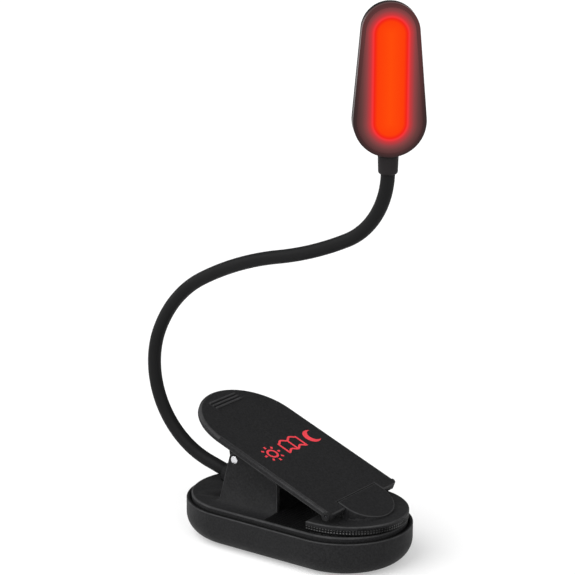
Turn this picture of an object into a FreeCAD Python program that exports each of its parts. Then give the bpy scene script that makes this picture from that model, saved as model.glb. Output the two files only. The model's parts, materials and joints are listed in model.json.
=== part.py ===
import FreeCAD, Part
import math
import os

# Clip-on reading lamp: a rechargeable base with a sprung clip, a bendable neck and an upright light head.
# Millimetres. The origin is the middle of the base's underside, +X runs from the lever's tail to the jaw,
# +Y is the side with the port and the button, and +Z is up.

# ---- base tray and cover ----
base_length = 78.2
base_width = 42.8
tray_height = 11.8
underside_run = 7.35         # how far the rounded lower edge reaches in
underside_rise = 6.9         # and how far it reaches up
inside_run = 6.0             # the same for the tray's inside
tray_floor = 1.8
tray_wall = 2.5
rim_wall = 1.35              # the thinner wall beside the cover
ledge_drop = 2.0             # the cover's seat below the rim
rim_break = 0.3
cover_groove = 0.25
cover_proud = 1.55
cover_thickness = 1.9
cover_skirt = 1.4
cover_round = 0.5
seat_gap = 0.05              # between pieces that are seated on each other
overrun = 1.0                # how far a cutting shape runs past the faces that it cuts
edge_tolerance = 0.01        # for finding an edge by its place
post_inset = 0.5             # of the tray's posts, from its outer skin
post_floor = 0.2

# ---- case screws ----
case_screw_x = 25.5
case_screw_y = 10.5
boss_height = 5.2            # top of the tray's screw bosses
boss_radius = 2.9
screw_shank = 1.9
screw_head = 3.6
screw_head_depth = 1.4
screw_head_seat = 2.4        # height of the head's seat above the underside
screw_length = 7.0
screw_drive_radius = 0.75
screw_drive_depth = 0.7
screw_end_gap = 0.3
cover_post_inset = 0.4       # of the cover's screw posts, from the tray's bosses
fused_depth = 0.5            # how far a fused piece reaches into its neighbour
screw_play = 0.2
thread_play = 0.04

# ---- clip: ears, hinge pin and lever ----
ear_span = 22.6              # over the outer faces of the two ears
ear_thickness = 1.5
ear_tip_radius = 2.2
ear_front = 16.6             # the ear's front edge ahead of the pin
ear_shoulder_drop = 4.5      # its front corner below the pin
ear_heel = 6.2               # its foot behind the pin
ear_corner = 1.0
ear_edge_round = 0.3
hinge_x = -16.75
hinge_rise = 13.85           # the pin above the cover
pin_diameter = 2.7
pin_fit = 0.02               # radial, in the ears
pin_running_fit = 0.06       # radial, in the lever's lugs
pin_proud = 0.25
pin_chamfer = 0.2

lever_pitch = 21.0
lever_length = 63.8
lever_width = 36.8
lever_thickness = 2.1
lever_edge_round = 0.9
lever_corner = 2.2
pin_to_lever_top = 8.72
pin_to_lever_front = 41.7
notch_depth = 3.7
notch_width = 21.0
notch_edge_round = 0.25
knuckle_radius = 1.5
knuckle_top_round = 0.45
lug_thickness = 1.5
lug_tip_radius = 3.0
lug_front_reach = 7.0
lug_rear_reach = 8.0
lug_side_gap = 0.25
tail_rib_pitch = 1.4
tail_rib_count = 3
tail_rib_length = 13.2
tail_rib_width = 0.8
tail_rib_height = 0.5
tail_rib_round = 0.36
tail_rib_setback = 56.7      # the first rib behind the lever's front

# ---- jaw ----
jaw_pin_diameter = 1.2
jaw_pin_inset = 0.35
jaw_pin_running_fit = 0.05
jaw_back = 16.2
jaw_bend = 17.9              # where the jaw's straight sides meet its round front
jaw_front = 38.4
jaw_width = 37.4
jaw_plate_thickness = 1.2
jaw_pad_thickness = 1.6
jaw_pad_margin = 0.25
jaw_pad_gap = 0.15           # between the two rubber faces at rest
boss_side_gap = 0.3          # each side of the boss in the lever's notch
boss_back_gap = 0.2
boss_straight = 3.4
boss_round = 9.3
boss_proud = 0.2             # above the lever's top face
boss_swing_gap = 0.3
boss_edge_round = 0.3
jaw_edge_round = 0.4

# ---- base pad ----
base_pad_proud = 0.4
base_pad_depth = 0.6
base_pad_margin = 1.0
base_pad_start = 1.0         # ahead of the ears

# ---- torsion spring ----
spring_wire = 0.9
spring_clearance = 0.3       # round the hinge pin
spring_whole_turns = 8
spring_pitch = 1.15
spring_leg_slant = 20.0      # of both legs, off the vertical and towards the tail
spring_leg_gap = 0.1         # at the tip of each leg

# ---- neck ----
neck_diameter = 4.3
neck_wall = 0.6
neck_mouth_x = -28.2
neck_mouth_rise = 4.3        # the neck's axis above the cover at the mouth
neck_root_heading = 165.0
socket_depth = 7.5
neck_straight = 7.6
neck_radii = (30.2, 41.5, 112.6, 121.9, 25.9)
neck_headings = (67.2, 30.0, 13.6, 26.6, 90.0)
first_joint = 18.0
joint_pitch = 25.0
joint_count = 7
ball_gap = 0.1
neck_tip_run = 3.0           # how far the neck reaches into the collar
socket_wall = 1.4
socket_fit = 0.05
socket_web = 3.0
socket_web_setback = 1.5     # from the mouth
socket_end_wall = 1.2
socket_floor = 1.0           # extra thickness of the cover under the socket
lead_turn_room = 3.2         # behind the ferrule, where the leads turn down
lead_passage_radius = 1.6
stay_wire_diameter = 1.4
stay_wire_play = 0.1         # at the upper side of the bore
lead_diameter = 0.9
lead_bend = 0.9
lead_drop_room = 1.0         # from the leads' axes down to the bore's lowest line
lead_side = 0.6
ferrule_length = 4.0
ferrule_gap = 0.02

# ---- head ----
head_yaw = 39.3
head_bottom = 130.1
head_height = 45.8
head_lower_radius = 10.9
head_upper_radius = 8.6
head_front = 4.2             # from the neck's axis to the front face
head_back = 4.4
head_split = 1.0             # the seam ahead of the neck's axis
head_wall = 1.3
head_back_round = 3.0
head_front_round = 0.7
bezel_width = 1.2
lens_thickness = 1.2
lens_fit = 0.08
lens_setback = 0.1
lens_seat_gap = 0.02
lens_edge_round = 0.3
lens_ledge = 1.0
lens_ledge_depth = 0.8
light_width = 11.1
light_length = 37.2
diffuser_thickness = 0.9
reflector_wall = 0.8
reflector_depth = 2.4
reflector_taper = 1.6
reflector_lip = 0.8
reflector_fit = 0.05
board_rest_radius = 1.6
board_rest_spacing = 24.0
led_board_thickness = 1.0
led_count = 6
led_pitch = 5.6
led_size = (3.5, 2.8, 0.7)
head_pad_x = 2.2
head_pad_height = 6.0        # above the light's lower end
lead_clearance = 0.35
collar_height = 5.8
collar_top_wall = 1.0
collar_bottom_wall = 0.78
collar_round = 1.0
collar_overlap = 0.6         # of its shoulder, over the head's round foot
collar_step = 0.5            # from its outside to the spigot in the head
collar_spigot_proud = 0.3    # inside the head
collar_fit = 0.05

# ---- electrics in the base ----
cell_length = 36.0
cell_width = 17.5
cell_height = 5.4
cell_round = 1.6
cell_x = -1.5
cell_wall_gap = 1.3
cell_end_gap = 1.15          # at its corner in the tray's round end
lead_arch = 1.5              # height of the battery's leads above the cell
neck_lead_arch = 1.3
battery_lead_places = (10.6, 12.4)
battery_lead_inset = 1.6
tape_thickness = 0.4
tape_margin = 3.0
board_length = 36.0
board_width = 13.0
board_thickness = 1.2
board_height = 5.0           # underside of the board
board_wall_gap = 0.3
board_screw_x = 15.5
board_screw_inset = 4.4
board_post_radius = 2.0
board_screw_diameter = 1.6
board_screw_head = 2.8
board_screw_length = 4.0
board_screw_head_height = 0.9
board_screw_slot = (2.0, 0.36, 0.4)
port_x = -11.0
port_size = (8.9, 7.3, 3.2)
port_shell = 0.3
port_back = 1.2
port_tongue = (6.6, 0.7)
port_tongue_setback = 1.0
port_recess = 0.8
port_play = 0.25
button_x = 9.0
button_length = 7.0
button_height = 3.0
button_proud = 0.7
button_play = 0.15
button_travel = 0.5
button_flange = 0.7
button_flange_depth = 0.8
button_round = 0.4
plunger_radius = 0.9
plunger_proud = 1.3          # of the switch's face, at rest
plunger_bore = 1.6
switch_size = (5.2, 3.6, 2.6)
indicator_x = 0.0
indicator_radius = 0.9
indicator_overlap = 1.0      # over the board's edge
indicator_setback = 0.1
# each board part: its x, its distance from the board's near side, and its length, width and height
board_part_sizes = ((-8.5, 5.2, 4.0, 4.0, 0.9), (3.5, 4.6, 3.0, 3.0, 0.8), (-2.6, 4.4, 3.2, 3.2, 1.6),
                    (0.0, 11.1, 1.6, 1.2, 0.8), (-12.0, 1.6, 1.6, 0.8, 0.7), (-8.5, 1.6, 1.6, 0.8, 0.7),
                    (4.5, 1.6, 1.6, 0.8, 0.7), (7.5, 1.6, 1.6, 0.8, 0.7))

# ---- values worked out from those above ----
cover_top = tray_height + cover_proud
cover_inset = rim_wall + cover_groove
lid_underside = cover_top - cover_thickness
ledge_height = tray_height - ledge_drop
cover_seat = ledge_height + seat_gap
ear_outer = ear_span / 2
ear_inner = ear_outer - ear_thickness
hinge_z = cover_top + hinge_rise
pin_radius = pin_diameter / 2
lever_half = lever_width / 2
notch_half = notch_width / 2
lug_outer = ear_inner - lug_side_gap
lug_inner = lug_outer - lug_thickness
jaw_half = jaw_width / 2
jaw_pad_bottom = cover_top + base_pad_proud + jaw_pad_gap
jaw_plate_bottom = jaw_pad_bottom + jaw_pad_thickness
jaw_top = jaw_plate_bottom + jaw_plate_thickness
sleeve_radius = neck_diameter / 2
neck_bore = neck_diameter - 2 * neck_wall
stay_wire_offset = neck_bore / 2 - stay_wire_diameter / 2 - stay_wire_play
lead_drop = neck_bore / 2 - lead_drop_room
collar_top_radius = sleeve_radius + collar_top_wall
collar_bottom_radius = sleeve_radius + collar_bottom_wall
neck_mouth_z = cover_top + neck_mouth_rise
head_lower_z = head_bottom + head_lower_radius
head_upper_z = head_bottom + head_height - head_upper_radius
light_z = head_bottom + head_height / 2
port_z = board_height + board_thickness + port_size[2] / 2
button_z = board_height + board_thickness + switch_size[2] / 2
side_wall_inner = base_width / 2 - tray_wall
inside_rise = ledge_height - tray_floor

UP = FreeCAD.Vector(0, 0, 1)
ALONG_Y = FreeCAD.Vector(0, 1, 0)


def vec(x, y, z):
    return FreeCAD.Vector(x, y, z)


def inside_half_width(z, x=0.0):
    """Half the width between the tray's inner walls at a height, where their lower edge is rounded, and at
    a place along the tray, where its ends are round."""
    fraction = min(max((ledge_height - z) / inside_rise, 0.0), 1.0)
    half_width = side_wall_inner - inside_run * (1 - math.sqrt(1 - fraction * fraction))
    beyond = max(abs(x) - (base_length - base_width) / 2, 0.0)
    return math.sqrt(half_width * half_width - beyond * beyond)


cell_bottom = tray_floor + tape_thickness
cell_top = cell_bottom + cell_height
cell_end = abs(cell_x) + cell_length / 2
cell_near_side = max(cell_wall_gap - inside_half_width(cell_bottom + cell_round),
                     cell_end_gap - inside_half_width(cell_bottom + cell_round, cell_end))
button_back = side_wall_inner - 2 * button_play - button_flange_depth
board_far_side = min(inside_half_width(board_height) - board_wall_gap,
                     button_back - button_travel - button_play)
board_near_side = board_far_side - board_width
board_top = board_height + board_thickness


# ---- general shapes ----

def box(x0, x1, y0, y1, z0, z1):
    return Part.makeBox(x1 - x0, y1 - y0, z1 - z0, vec(x0, y0, z0))


def rod_y(x, z, radius, y0, y1):
    return Part.makeCylinder(radius, y1 - y0, vec(x, y0, z), ALONG_Y)


def rod_z(x, y, radius, z0, z1):
    return Part.makeCylinder(radius, z1 - z0, vec(x, y, z0), UP)


def prism(wire, direction):
    return Part.Face(wire).extrude(direction)


def arc_edge(start, middle, end):
    return Part.Arc(start, middle, end).toShape()


def line_edge(start, end):
    return Part.LineSegment(start, end).toShape()


def round_edges(shape, radius, chosen):
    """Fillet the edges for which chosen(edge) is true."""
    edges = [edge for edge in shape.Edges if chosen(edge)]
    return shape.makeFillet(radius, edges)


def lies_at(axis, value, tolerance=edge_tolerance):
    """A test for edges that lie wholly at one height along an axis (0, 1 or 2)."""
    def chosen(edge):
        bounds = edge.BoundBox
        low = (bounds.XMin, bounds.YMin, bounds.ZMin)[axis]
        high = (bounds.XMax, bounds.YMax, bounds.ZMax)[axis]
        return abs(low - value) < tolerance and abs(high - value) < tolerance
    return chosen


def stadium(length, width, z0, z1, centre_x=0.0, centre_y=0.0):
    """An upright solid with straight sides and half-round ends."""
    half = (length - width) / 2
    radius = width / 2
    corners = [vec(centre_x + sx * half, centre_y + sy * radius, z0)
               for sx, sy in ((-1, -1), (1, -1), (1, 1), (-1, 1))]
    wire = Part.Wire([
        line_edge(corners[0], corners[1]),
        arc_edge(corners[1], vec(centre_x + half + radius, centre_y, z0), corners[2]),
        line_edge(corners[2], corners[3]),
        arc_edge(corners[3], vec(centre_x - half - radius, centre_y, z0), corners[0])])
    return prism(wire, vec(0, 0, z1 - z0))


def pan(length, width, z0, z1, run, rise):
    """A stadium-shaped solid whose lower edge is rounded as a quarter ellipse, run wide and rise high."""
    half = (length - width) / 2
    radius = width / 2
    slant = math.sqrt(0.5)

    def section(side, x):
        points = [vec(x, 0, z0), vec(x, side * (radius - run), z0), vec(x, side * radius, z0 + rise),
                  vec(x, side * radius, z1), vec(x, 0, z1)]
        centre = vec(x, side * (radius - run), z0 + rise)
        along = vec(0, side * run, 0) if run > rise else vec(0, 0, -rise)
        across = vec(0, 0, -rise) if run > rise else vec(0, side * run, 0)
        curve = Part.Ellipse(centre + along, centre + across, centre)
        middle = centre + vec(0, side * run * slant, -rise * slant)
        start, end = curve.parameter(points[1]), curve.parameter(points[2])
        low, high = min(start, end), max(start, end)
        if not low < curve.parameter(middle) < high:
            low, high = high, low + 2 * math.pi
        corner = Part.ArcOfEllipse(curve, low, high).toShape()
        return Part.Wire(Part.sortEdges([line_edge(points[0], points[1]), corner,
                                         line_edge(points[2], points[3]), line_edge(points[3], points[4]),
                                         line_edge(points[4], points[0])])[0])

    middle = [prism(section(side, -half), vec(2 * half, 0, 0)) for side in (-1, 1)]
    ends = [Part.Face(section(1, x)).revolve(vec(x, 0, 0), UP, 360) for x in (-half, half)]
    return middle[0].multiFuse([middle[1]] + ends).removeSplitter()


def tangent_point(point, centre, radius, side):
    """Where the tangent from a point touches a circle; side is +1 or -1. Both are (first, second) pairs."""
    dx, dz = point[0] - centre[0], point[1] - centre[1]
    distance = math.hypot(dx, dz)
    angle = math.atan2(dz, dx) + side * math.acos(radius / distance)
    return centre[0] + radius * math.cos(angle), centre[1] + radius * math.sin(angle)


def pointed_plate(tip, radius, left_points, right_points, tip_side, y0, y1):
    """A plate in the XZ plane that narrows to a round tip. The points run outward from the tip on each
    side; tip_side is +1 when the tip is the upper end and -1 when it is the lower end."""
    left = tangent_point(left_points[0], tip, radius, -tip_side)
    right = tangent_point(right_points[0], tip, radius, tip_side)
    outer = (tip[0], tip[1] + tip_side * radius)
    corners = [left] + left_points + list(reversed(right_points)) + [right]
    edges = [line_edge(vec(a[0], y0, a[1]), vec(b[0], y0, b[1])) for a, b in zip(corners[:-1], corners[1:])]
    edges.append(arc_edge(*[vec(p[0], y0, p[1]) for p in (right, outer, left)]))
    return prism(Part.Wire(edges), vec(0, y1 - y0, 0))


def routed_lead(points, bend, radius):
    """A round lead along straight runs joined by tangent arcs of one bend radius."""
    edges = []
    start = points[0]
    for before, corner, after in zip(points[:-2], points[1:-1], points[2:]):
        inward = (corner - before).normalize()
        outward = (after - corner).normalize()
        turn = inward.getAngle(outward)
        reach = bend * math.tan(turn / 2)
        first = corner - inward * reach
        last = corner + outward * reach
        towards = (outward - inward).normalize()
        middle = corner + towards * (bend / math.cos(turn / 2) - bend)
        edges.append(line_edge(start, first))
        edges.append(arc_edge(first, middle, last))
        start = last
    edges.append(line_edge(start, points[-1]))
    heading = points[1] - points[0]
    profile = Part.Wire(Part.makeCircle(radius, points[0], heading))
    return Part.Wire(edges).makePipeShell([profile], True, True)


# ---- the lever's own frame: x forward along the plate, z out of its top face, origin at its front edge ----

hinge_point = vec(hinge_x, 0, hinge_z)
lever_turn = FreeCAD.Rotation(ALONG_Y, lever_pitch)
lever_origin = hinge_point + lever_turn.multVec(vec(pin_to_lever_front, 0, pin_to_lever_top))
lever_place = FreeCAD.Placement(lever_origin, lever_turn)
jaw_pin_point = lever_place.multVec(vec(-knuckle_radius, 0, -knuckle_radius))


def in_lever_frame(shape):
    placed = shape.copy()
    placed.Placement = lever_place.multiply(placed.Placement)
    return placed


# ---- base ----

def tray_blank():
    outer = pan(base_length, base_width, 0, tray_height, underside_run, underside_rise)
    outer = round_edges(outer, rim_break, lies_at(2, tray_height))
    shrink = 2 * tray_wall
    cavity = pan(base_length - shrink, base_width - shrink, tray_floor, ledge_height + overrun,
                 inside_run, inside_rise)
    rim = stadium(base_length - 2 * rim_wall, base_width - 2 * rim_wall, ledge_height, tray_height + overrun)
    return outer.cut(cavity.fuse(rim))


def screw_places():
    return [(sx * case_screw_x, sy * case_screw_y) for sx in (-1, 1) for sy in (-1, 1)]


def board_screw_places():
    return [(sx * board_screw_x, board_near_side + board_screw_inset) for sx in (-1, 1)]


def base_tray():
    tray = tray_blank()
    hollow = pan(base_length - 2 * post_inset, base_width - 2 * post_inset, post_floor, tray_height,
                 underside_run, underside_rise)
    for x, y in screw_places():
        tray = tray.fuse(rod_z(x, y, boss_radius, tray_floor / 2, boss_height).common(hollow))
    for x, y in board_screw_places():
        post = rod_z(x, y, board_post_radius, tray_floor / 2, board_height)
        tray = tray.fuse(post.common(hollow))
    cuts = [rod_z(x, y, screw_shank / 2 + screw_play, -overrun, boss_height + overrun)
            for x, y in screw_places()]
    cuts += [rod_z(x, y, screw_head / 2 + screw_play, -overrun, screw_head_seat) for x, y in screw_places()]
    cuts += [rod_z(x, y, board_screw_diameter / 2 + thread_play, tray_floor, board_height + overrun)
             for x, y in board_screw_places()]
    cuts += side_openings()
    return tray.cut(cuts[0].multiFuse(cuts[1:])).removeSplitter()


def slot_through_wall(x, z, length, height):
    """A stadium-ended opening through the far side wall."""
    slot = stadium(length, height, 0, tray_wall + 2 * overrun)
    slot.rotate(vec(0, 0, 0), vec(1, 0, 0), -90)
    slot.translate(vec(x, side_wall_inner - overrun, z))
    return slot


def side_openings():
    port = slot_through_wall(port_x, port_z, port_size[0] + 2 * port_play, port_size[2] + 2 * port_play)
    button = slot_through_wall(button_x, button_z, button_length + 2 * button_play,
                               button_height + 2 * button_play)
    pocket_growth = 2 * (button_flange + button_play)
    pocket = button_slab(button_length + pocket_growth, button_height + pocket_growth,
                         side_wall_inner - inside_run, side_wall_inner)
    indicator = rod_y(indicator_x, button_z, indicator_radius + seat_gap, side_wall_inner - overrun,
                      base_width / 2 + overrun)
    return [port, button, pocket, indicator]


def button_slab(length, height, y0, y1):
    """A stadium-faced slab on the button's axis, from y0 to y1."""
    solid = stadium(length, height, 0, y1 - y0)
    solid.rotate(vec(0, 0, 0), vec(1, 0, 0), -90)
    solid.translate(vec(button_x, y0, button_z))
    return solid


def ear(side):
    tip = (hinge_x, hinge_z)
    foot = cover_top - cover_thickness / 2
    heel = (hinge_x - ear_heel, foot)
    shoulder = (hinge_x + ear_front, hinge_z - ear_shoulder_drop)
    toe = (hinge_x + ear_front, foot)
    y0, y1 = sorted((side * ear_inner, side * ear_outer))
    plate = pointed_plate(tip, ear_tip_radius, [heel], [shoulder, toe], 1, y0, y1)

    def shoulder_edge(edge):
        return lies_at(0, shoulder[0])(edge) and lies_at(2, shoulder[1])(edge)
    plate = round_edges(plate, ear_corner, shoulder_edge)
    return round_edges(plate, ear_edge_round, lies_at(1, side * ear_outer))


def neck_socket():
    """The tube moulded on the cover that holds the neck's root."""
    heading = neck_direction(0)
    inner_end = neck_point(-ferrule_length - lead_turn_room - socket_end_wall)
    mouth = neck_point(socket_depth)
    radius = sleeve_radius + socket_wall
    tube = Part.makeCylinder(radius, (mouth - inner_end).Length, inner_end, heading)
    web = box(mouth.x + socket_web_setback, inner_end.x, -socket_web / 2, socket_web / 2,
              cover_top - cover_thickness / 2, neck_mouth_z - socket_wall)
    above = box(-base_length, base_length, -base_width, base_width, cover_top - cover_thickness / 2,
                hinge_z)
    floor = box(neck_point(0).x, inner_end.x + socket_end_wall, -radius, radius,
                lid_underside - socket_floor, lid_underside + cover_thickness / 2)
    return tube.fuse(web).common(above).fuse(floor)


def cover_cuts():
    """The neck's bore, the lead passage into the base, the hinge bores and the pad's recess."""
    heading = neck_direction(0)
    start = neck_point(-ferrule_length - lead_turn_room)
    bore_length = ferrule_length + lead_turn_room + socket_depth + neck_diameter
    bore = Part.makeCylinder(sleeve_radius + socket_fit, bore_length, start, heading)
    drop = lead_drop_point()
    passage = rod_z(drop.x, 0, lead_passage_radius, lid_underside - socket_floor - overrun, drop.z)
    hinge = rod_y(hinge_x, hinge_z, pin_radius + pin_fit, -ear_outer - overrun, ear_outer + overrun)
    recess = base_pad_outline(seat_gap, cover_top - base_pad_depth, cover_top + overrun)
    return [bore, passage, hinge, recess]


def lead_drop_point():
    """Where the neck's leads turn down, behind the ferrule."""
    return neck_point(-ferrule_length - lead_turn_room / 2)


def base_cover():
    skin = stadium(base_length - 2 * cover_inset, base_width - 2 * cover_inset, cover_seat, cover_top)
    skin = round_edges(skin, cover_round, lies_at(2, cover_top))
    inner = cover_inset + cover_skirt
    hollow = stadium(base_length - 2 * inner, base_width - 2 * inner, cover_seat - overrun, lid_underside)
    cover = skin.cut(hollow)
    posts = [rod_z(x, y, boss_radius - cover_post_inset, boss_height + seat_gap, lid_underside + fused_depth)
             for x, y in screw_places()]
    cover = cover.multiFuse(posts + [ear(-1), ear(1), neck_socket()])
    threads = [rod_z(x, y, screw_shank / 2 + thread_play, 0, screw_head_seat + screw_length + screw_end_gap)
               for x, y in screw_places()]
    cuts = threads + cover_cuts()
    return cover.cut(cuts[0].multiFuse(cuts[1:])).removeSplitter()


def base_pad_outline(growth, z0, z1):
    """The rubber pad's shape: the cover's front end, inside its edge, from just ahead of the ears."""
    margin = cover_inset + base_pad_margin - growth
    whole = stadium(base_length - 2 * margin, base_width - 2 * margin, z0, z1)
    start = hinge_x + ear_front + base_pad_start - growth
    return whole.common(box(start, base_length, -base_width, base_width, z0 - overrun, z1 + overrun))


def base_pad():
    return base_pad_outline(0, cover_top - base_pad_depth + seat_gap, cover_top + base_pad_proud)


def battery_cell():
    cell = box(cell_x - cell_length / 2, cell_x + cell_length / 2,
               cell_near_side, cell_near_side + cell_width, cell_bottom, cell_top)
    return round_edges(cell, cell_round, lambda edge: edge.BoundBox.XLength > cell_length / 2)


def battery_tape():
    half = cell_length / 2 - tape_margin
    return box(cell_x - half, cell_x + half, cell_near_side + tape_margin,
               cell_near_side + cell_width - tape_margin, tray_floor, cell_bottom)


def circuit_board():
    half = board_length / 2
    board = box(-half, half, board_near_side, board_far_side, board_height, board_top)
    holes = [rod_z(x, y, board_screw_diameter / 2 + screw_play, board_height - overrun, board_top + overrun)
             for x, y in board_screw_places()]
    return board.cut(holes[0].fuse(holes[1]))


def usb_port():
    """A charging socket: a rounded metal shell open to the outside, with a tongue inside."""
    length, depth, height = port_size
    mouth = base_width / 2 - port_recess
    half_length, half_height = port_tongue[0] / 2, port_tongue[1] / 2

    def tube(shrink, y0, y1):
        solid = stadium(length - 2 * shrink, height - 2 * shrink, 0, y1 - y0)
        solid.rotate(vec(0, 0, 0), vec(1, 0, 0), -90)
        solid.translate(vec(port_x, y0, port_z))
        return solid
    shell = tube(0, mouth - depth, mouth).cut(tube(port_shell, mouth - depth + port_back, mouth + overrun))
    tongue = box(port_x - half_length, port_x + half_length, mouth - depth + port_back / 2,
                 mouth - port_tongue_setback, port_z - half_height, port_z + half_height)
    return shell.fuse(tongue)


def tact_switch():
    length, depth, height = switch_size
    front = button_back - plunger_proud
    body = box(button_x - length / 2, button_x + length / 2, front - depth, front, board_top,
               board_top + height)
    bore = rod_y(button_x, button_z, plunger_radius + seat_gap, front - plunger_bore, front + overrun)
    return body.cut(bore)


def switch_plunger():
    inner_end = button_back - plunger_proud - plunger_bore + button_travel + button_play
    return rod_y(button_x, button_z, plunger_radius, inner_end, button_back)


def power_button():
    """A stadium-faced push button with a flange that keeps it inside the wall."""
    outer_face = base_width / 2 + button_proud
    flange_face = side_wall_inner - button_play
    cap = button_slab(button_length, button_height, button_back, outer_face)
    cap = round_edges(cap, button_round, lies_at(1, outer_face))
    growth = 2 * button_flange
    flange = button_slab(button_length + growth, button_height + growth, button_back, flange_face)
    return cap.fuse(flange).removeSplitter()


def charge_indicator():
    return rod_y(indicator_x, button_z, indicator_radius, board_far_side - indicator_overlap,
                 base_width / 2 - indicator_setback)


def board_parts():
    """The charging and driver chips, an inductor and small passives, each on the board's top."""
    solids = []
    for x, inset, length, width, height in board_part_sizes:
        y = board_near_side + inset
        solids.append(box(x - length / 2, x + length / 2, y - width / 2, y + width / 2, board_top,
                          board_top + height))
    return Part.makeCompound(solids)


def case_screws():
    solids = []
    for x, y in screw_places():
        head = rod_z(x, y, screw_head / 2, screw_head_seat - screw_head_depth, screw_head_seat)
        drive = rod_z(x, y, screw_drive_radius, 0, screw_head_seat - screw_head_depth + screw_drive_depth)
        shank = rod_z(x, y, screw_shank / 2, screw_head_seat - fused_depth, screw_head_seat + screw_length)
        solids.append(head.fuse(shank).cut(drive).removeSplitter())
    return Part.makeCompound(solids)


def board_screws():
    solids = []
    slot_length, slot_width, slot_depth = board_screw_slot
    for x, y in board_screw_places():
        crown = board_top + board_screw_head_height
        head = rod_z(x, y, board_screw_head / 2, board_top, crown)
        shank = rod_z(x, y, board_screw_diameter / 2, board_top + fused_depth - board_screw_length,
                      board_top + fused_depth)
        drive = box(x - slot_length / 2, x + slot_length / 2, y - slot_width / 2, y + slot_width / 2,
                    crown - slot_depth, crown + overrun)
        solids.append(head.fuse(shank).cut(drive).removeSplitter())
    return Part.makeCompound(solids)


def battery_leads():
    """Two short leads that arch from the cell's tabs to the board."""
    solids = []
    crown = cell_top + lead_arch
    near = cell_near_side + cell_width - battery_lead_inset
    far = board_near_side + battery_lead_inset
    for x in battery_lead_places:
        points = [vec(x, near, cell_top), vec(x, near, crown), vec(x, far, crown), vec(x, far, board_top)]
        solids.append(routed_lead(points, lead_bend, lead_diameter / 2))
    return Part.makeCompound(solids)


def neck_leads():
    """The neck's two leads, from its root along the socket, down through the cover and to the board."""
    solids = []
    heading = neck_direction(0)
    drop = lead_drop_point()
    for side in (-1, 1):
        start = neck_point(0) + core_offset(0, -lead_drop, side * lead_side)
        x = drop.x + side * lead_side
        turn = start + heading * ((x - start.x) / heading.x)
        level = cell_top + neck_lead_arch
        landing = board_near_side + battery_lead_inset
        points = [start, turn, vec(x, turn.y, level), vec(x, landing, level), vec(x, landing, board_top)]
        solids.append(routed_lead(points, lead_bend, lead_diameter / 2))
    return Part.makeCompound(solids)


# ---- clip ----

def hinge_pin():
    end = ear_outer + pin_proud
    pin = rod_y(hinge_x, hinge_z, pin_radius, -end, end)
    rims = [edge for edge in pin.Edges if lies_at(1, -end)(edge) or lies_at(1, end)(edge)]
    return pin.makeChamfer(pin_chamfer, rims)


def lever_outline(z0, z1):
    """The lever's plan shape as a solid, in its own frame: two front corners and a half-round tail."""
    tail = lever_length - lever_half
    side = lever_half - lever_corner
    slant = lever_corner * math.sqrt(0.5)

    def at(x, y):
        return vec(x, y, z0)
    edges = [line_edge(at(-lever_corner, -lever_half), at(-tail, -lever_half)),
             arc_edge(at(-tail, -lever_half), at(-lever_length, 0), at(-tail, lever_half)),
             line_edge(at(-tail, lever_half), at(-lever_corner, lever_half)),
             arc_edge(at(-lever_corner, lever_half), at(slant - lever_corner, side + slant), at(0, side)),
             line_edge(at(0, side), at(0, -side)),
             arc_edge(at(0, -side), at(slant - lever_corner, -side - slant), at(-lever_corner, -lever_half))]
    return prism(Part.Wire(edges), vec(0, 0, z1 - z0))


def lever_plate():
    plate = lever_outline(-lever_thickness, 0)
    plate = round_edges(plate, lever_edge_round, lies_at(2, 0))
    plate = round_edges(plate, lever_edge_round / 2, lies_at(2, -lever_thickness))
    depth = 2 * lever_thickness
    plate = plate.cut(box(-knuckle_radius, overrun, -lever_width, lever_width, -depth, depth))
    knuckle = rod_y(-knuckle_radius, -knuckle_radius, knuckle_radius, -lever_half, lever_half)
    brow = box(-knuckle_radius, 0, -lever_half, lever_half, -knuckle_radius, 0)
    brow = round_edges(brow, knuckle_top_round, lambda edge: lies_at(0, 0)(edge) and lies_at(2, 0)(edge))
    knuckle = knuckle.fuse(brow).common(lever_outline(-depth, depth))
    notch = box(-notch_depth, overrun, -notch_half, notch_half, -depth, depth)
    plate = plate.fuse(knuckle).cut(notch)

    def notch_rim(edge):
        bounds = edge.BoundBox
        inside = bounds.XMin > -notch_depth - edge_tolerance and bounds.YMin > -notch_half - edge_tolerance
        return inside and bounds.YMax < notch_half + edge_tolerance and lies_at(2, 0)(edge)
    return round_edges(plate, notch_edge_round, notch_rim)


def lever_lug(side):
    tip = (-pin_to_lever_front, -pin_to_lever_top)
    root = -lever_thickness / 2
    y0, y1 = sorted((side * lug_inner, side * lug_outer))
    rear, front = (tip[0] - lug_rear_reach, root), (tip[0] + lug_front_reach, root)
    return pointed_plate(tip, lug_tip_radius, [rear], [front], -1, y0, y1)


def tail_ribs():
    ribs = []
    for index in range(tail_rib_count):
        x = -tail_rib_setback - index * tail_rib_pitch
        rib = stadium(tail_rib_length, tail_rib_width, -lever_thickness / 2, tail_rib_height)
        rib.rotate(vec(0, 0, 0), UP, 90)
        rib.translate(vec(x, 0, 0))
        ribs.append(round_edges(rib, tail_rib_round, lies_at(2, tail_rib_height)))
    return ribs


def clip_lever():
    lever = lever_plate().multiFuse([lever_lug(-1), lever_lug(1)] + tail_ribs())
    hinge_bore = rod_y(-pin_to_lever_front, -pin_to_lever_top, pin_radius + pin_running_fit,
                       -lever_half, lever_half)
    pin_bore = rod_y(-knuckle_radius, -knuckle_radius, jaw_pin_diameter / 2 + pin_fit,
                     -lever_width, lever_width)
    return in_lever_frame(lever.cut(hinge_bore.fuse(pin_bore)).removeSplitter())


def jaw_pin():
    half = lever_half - jaw_pin_inset
    return rod_y(jaw_pin_point.x, jaw_pin_point.z, jaw_pin_diameter / 2, -half, half)


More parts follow.
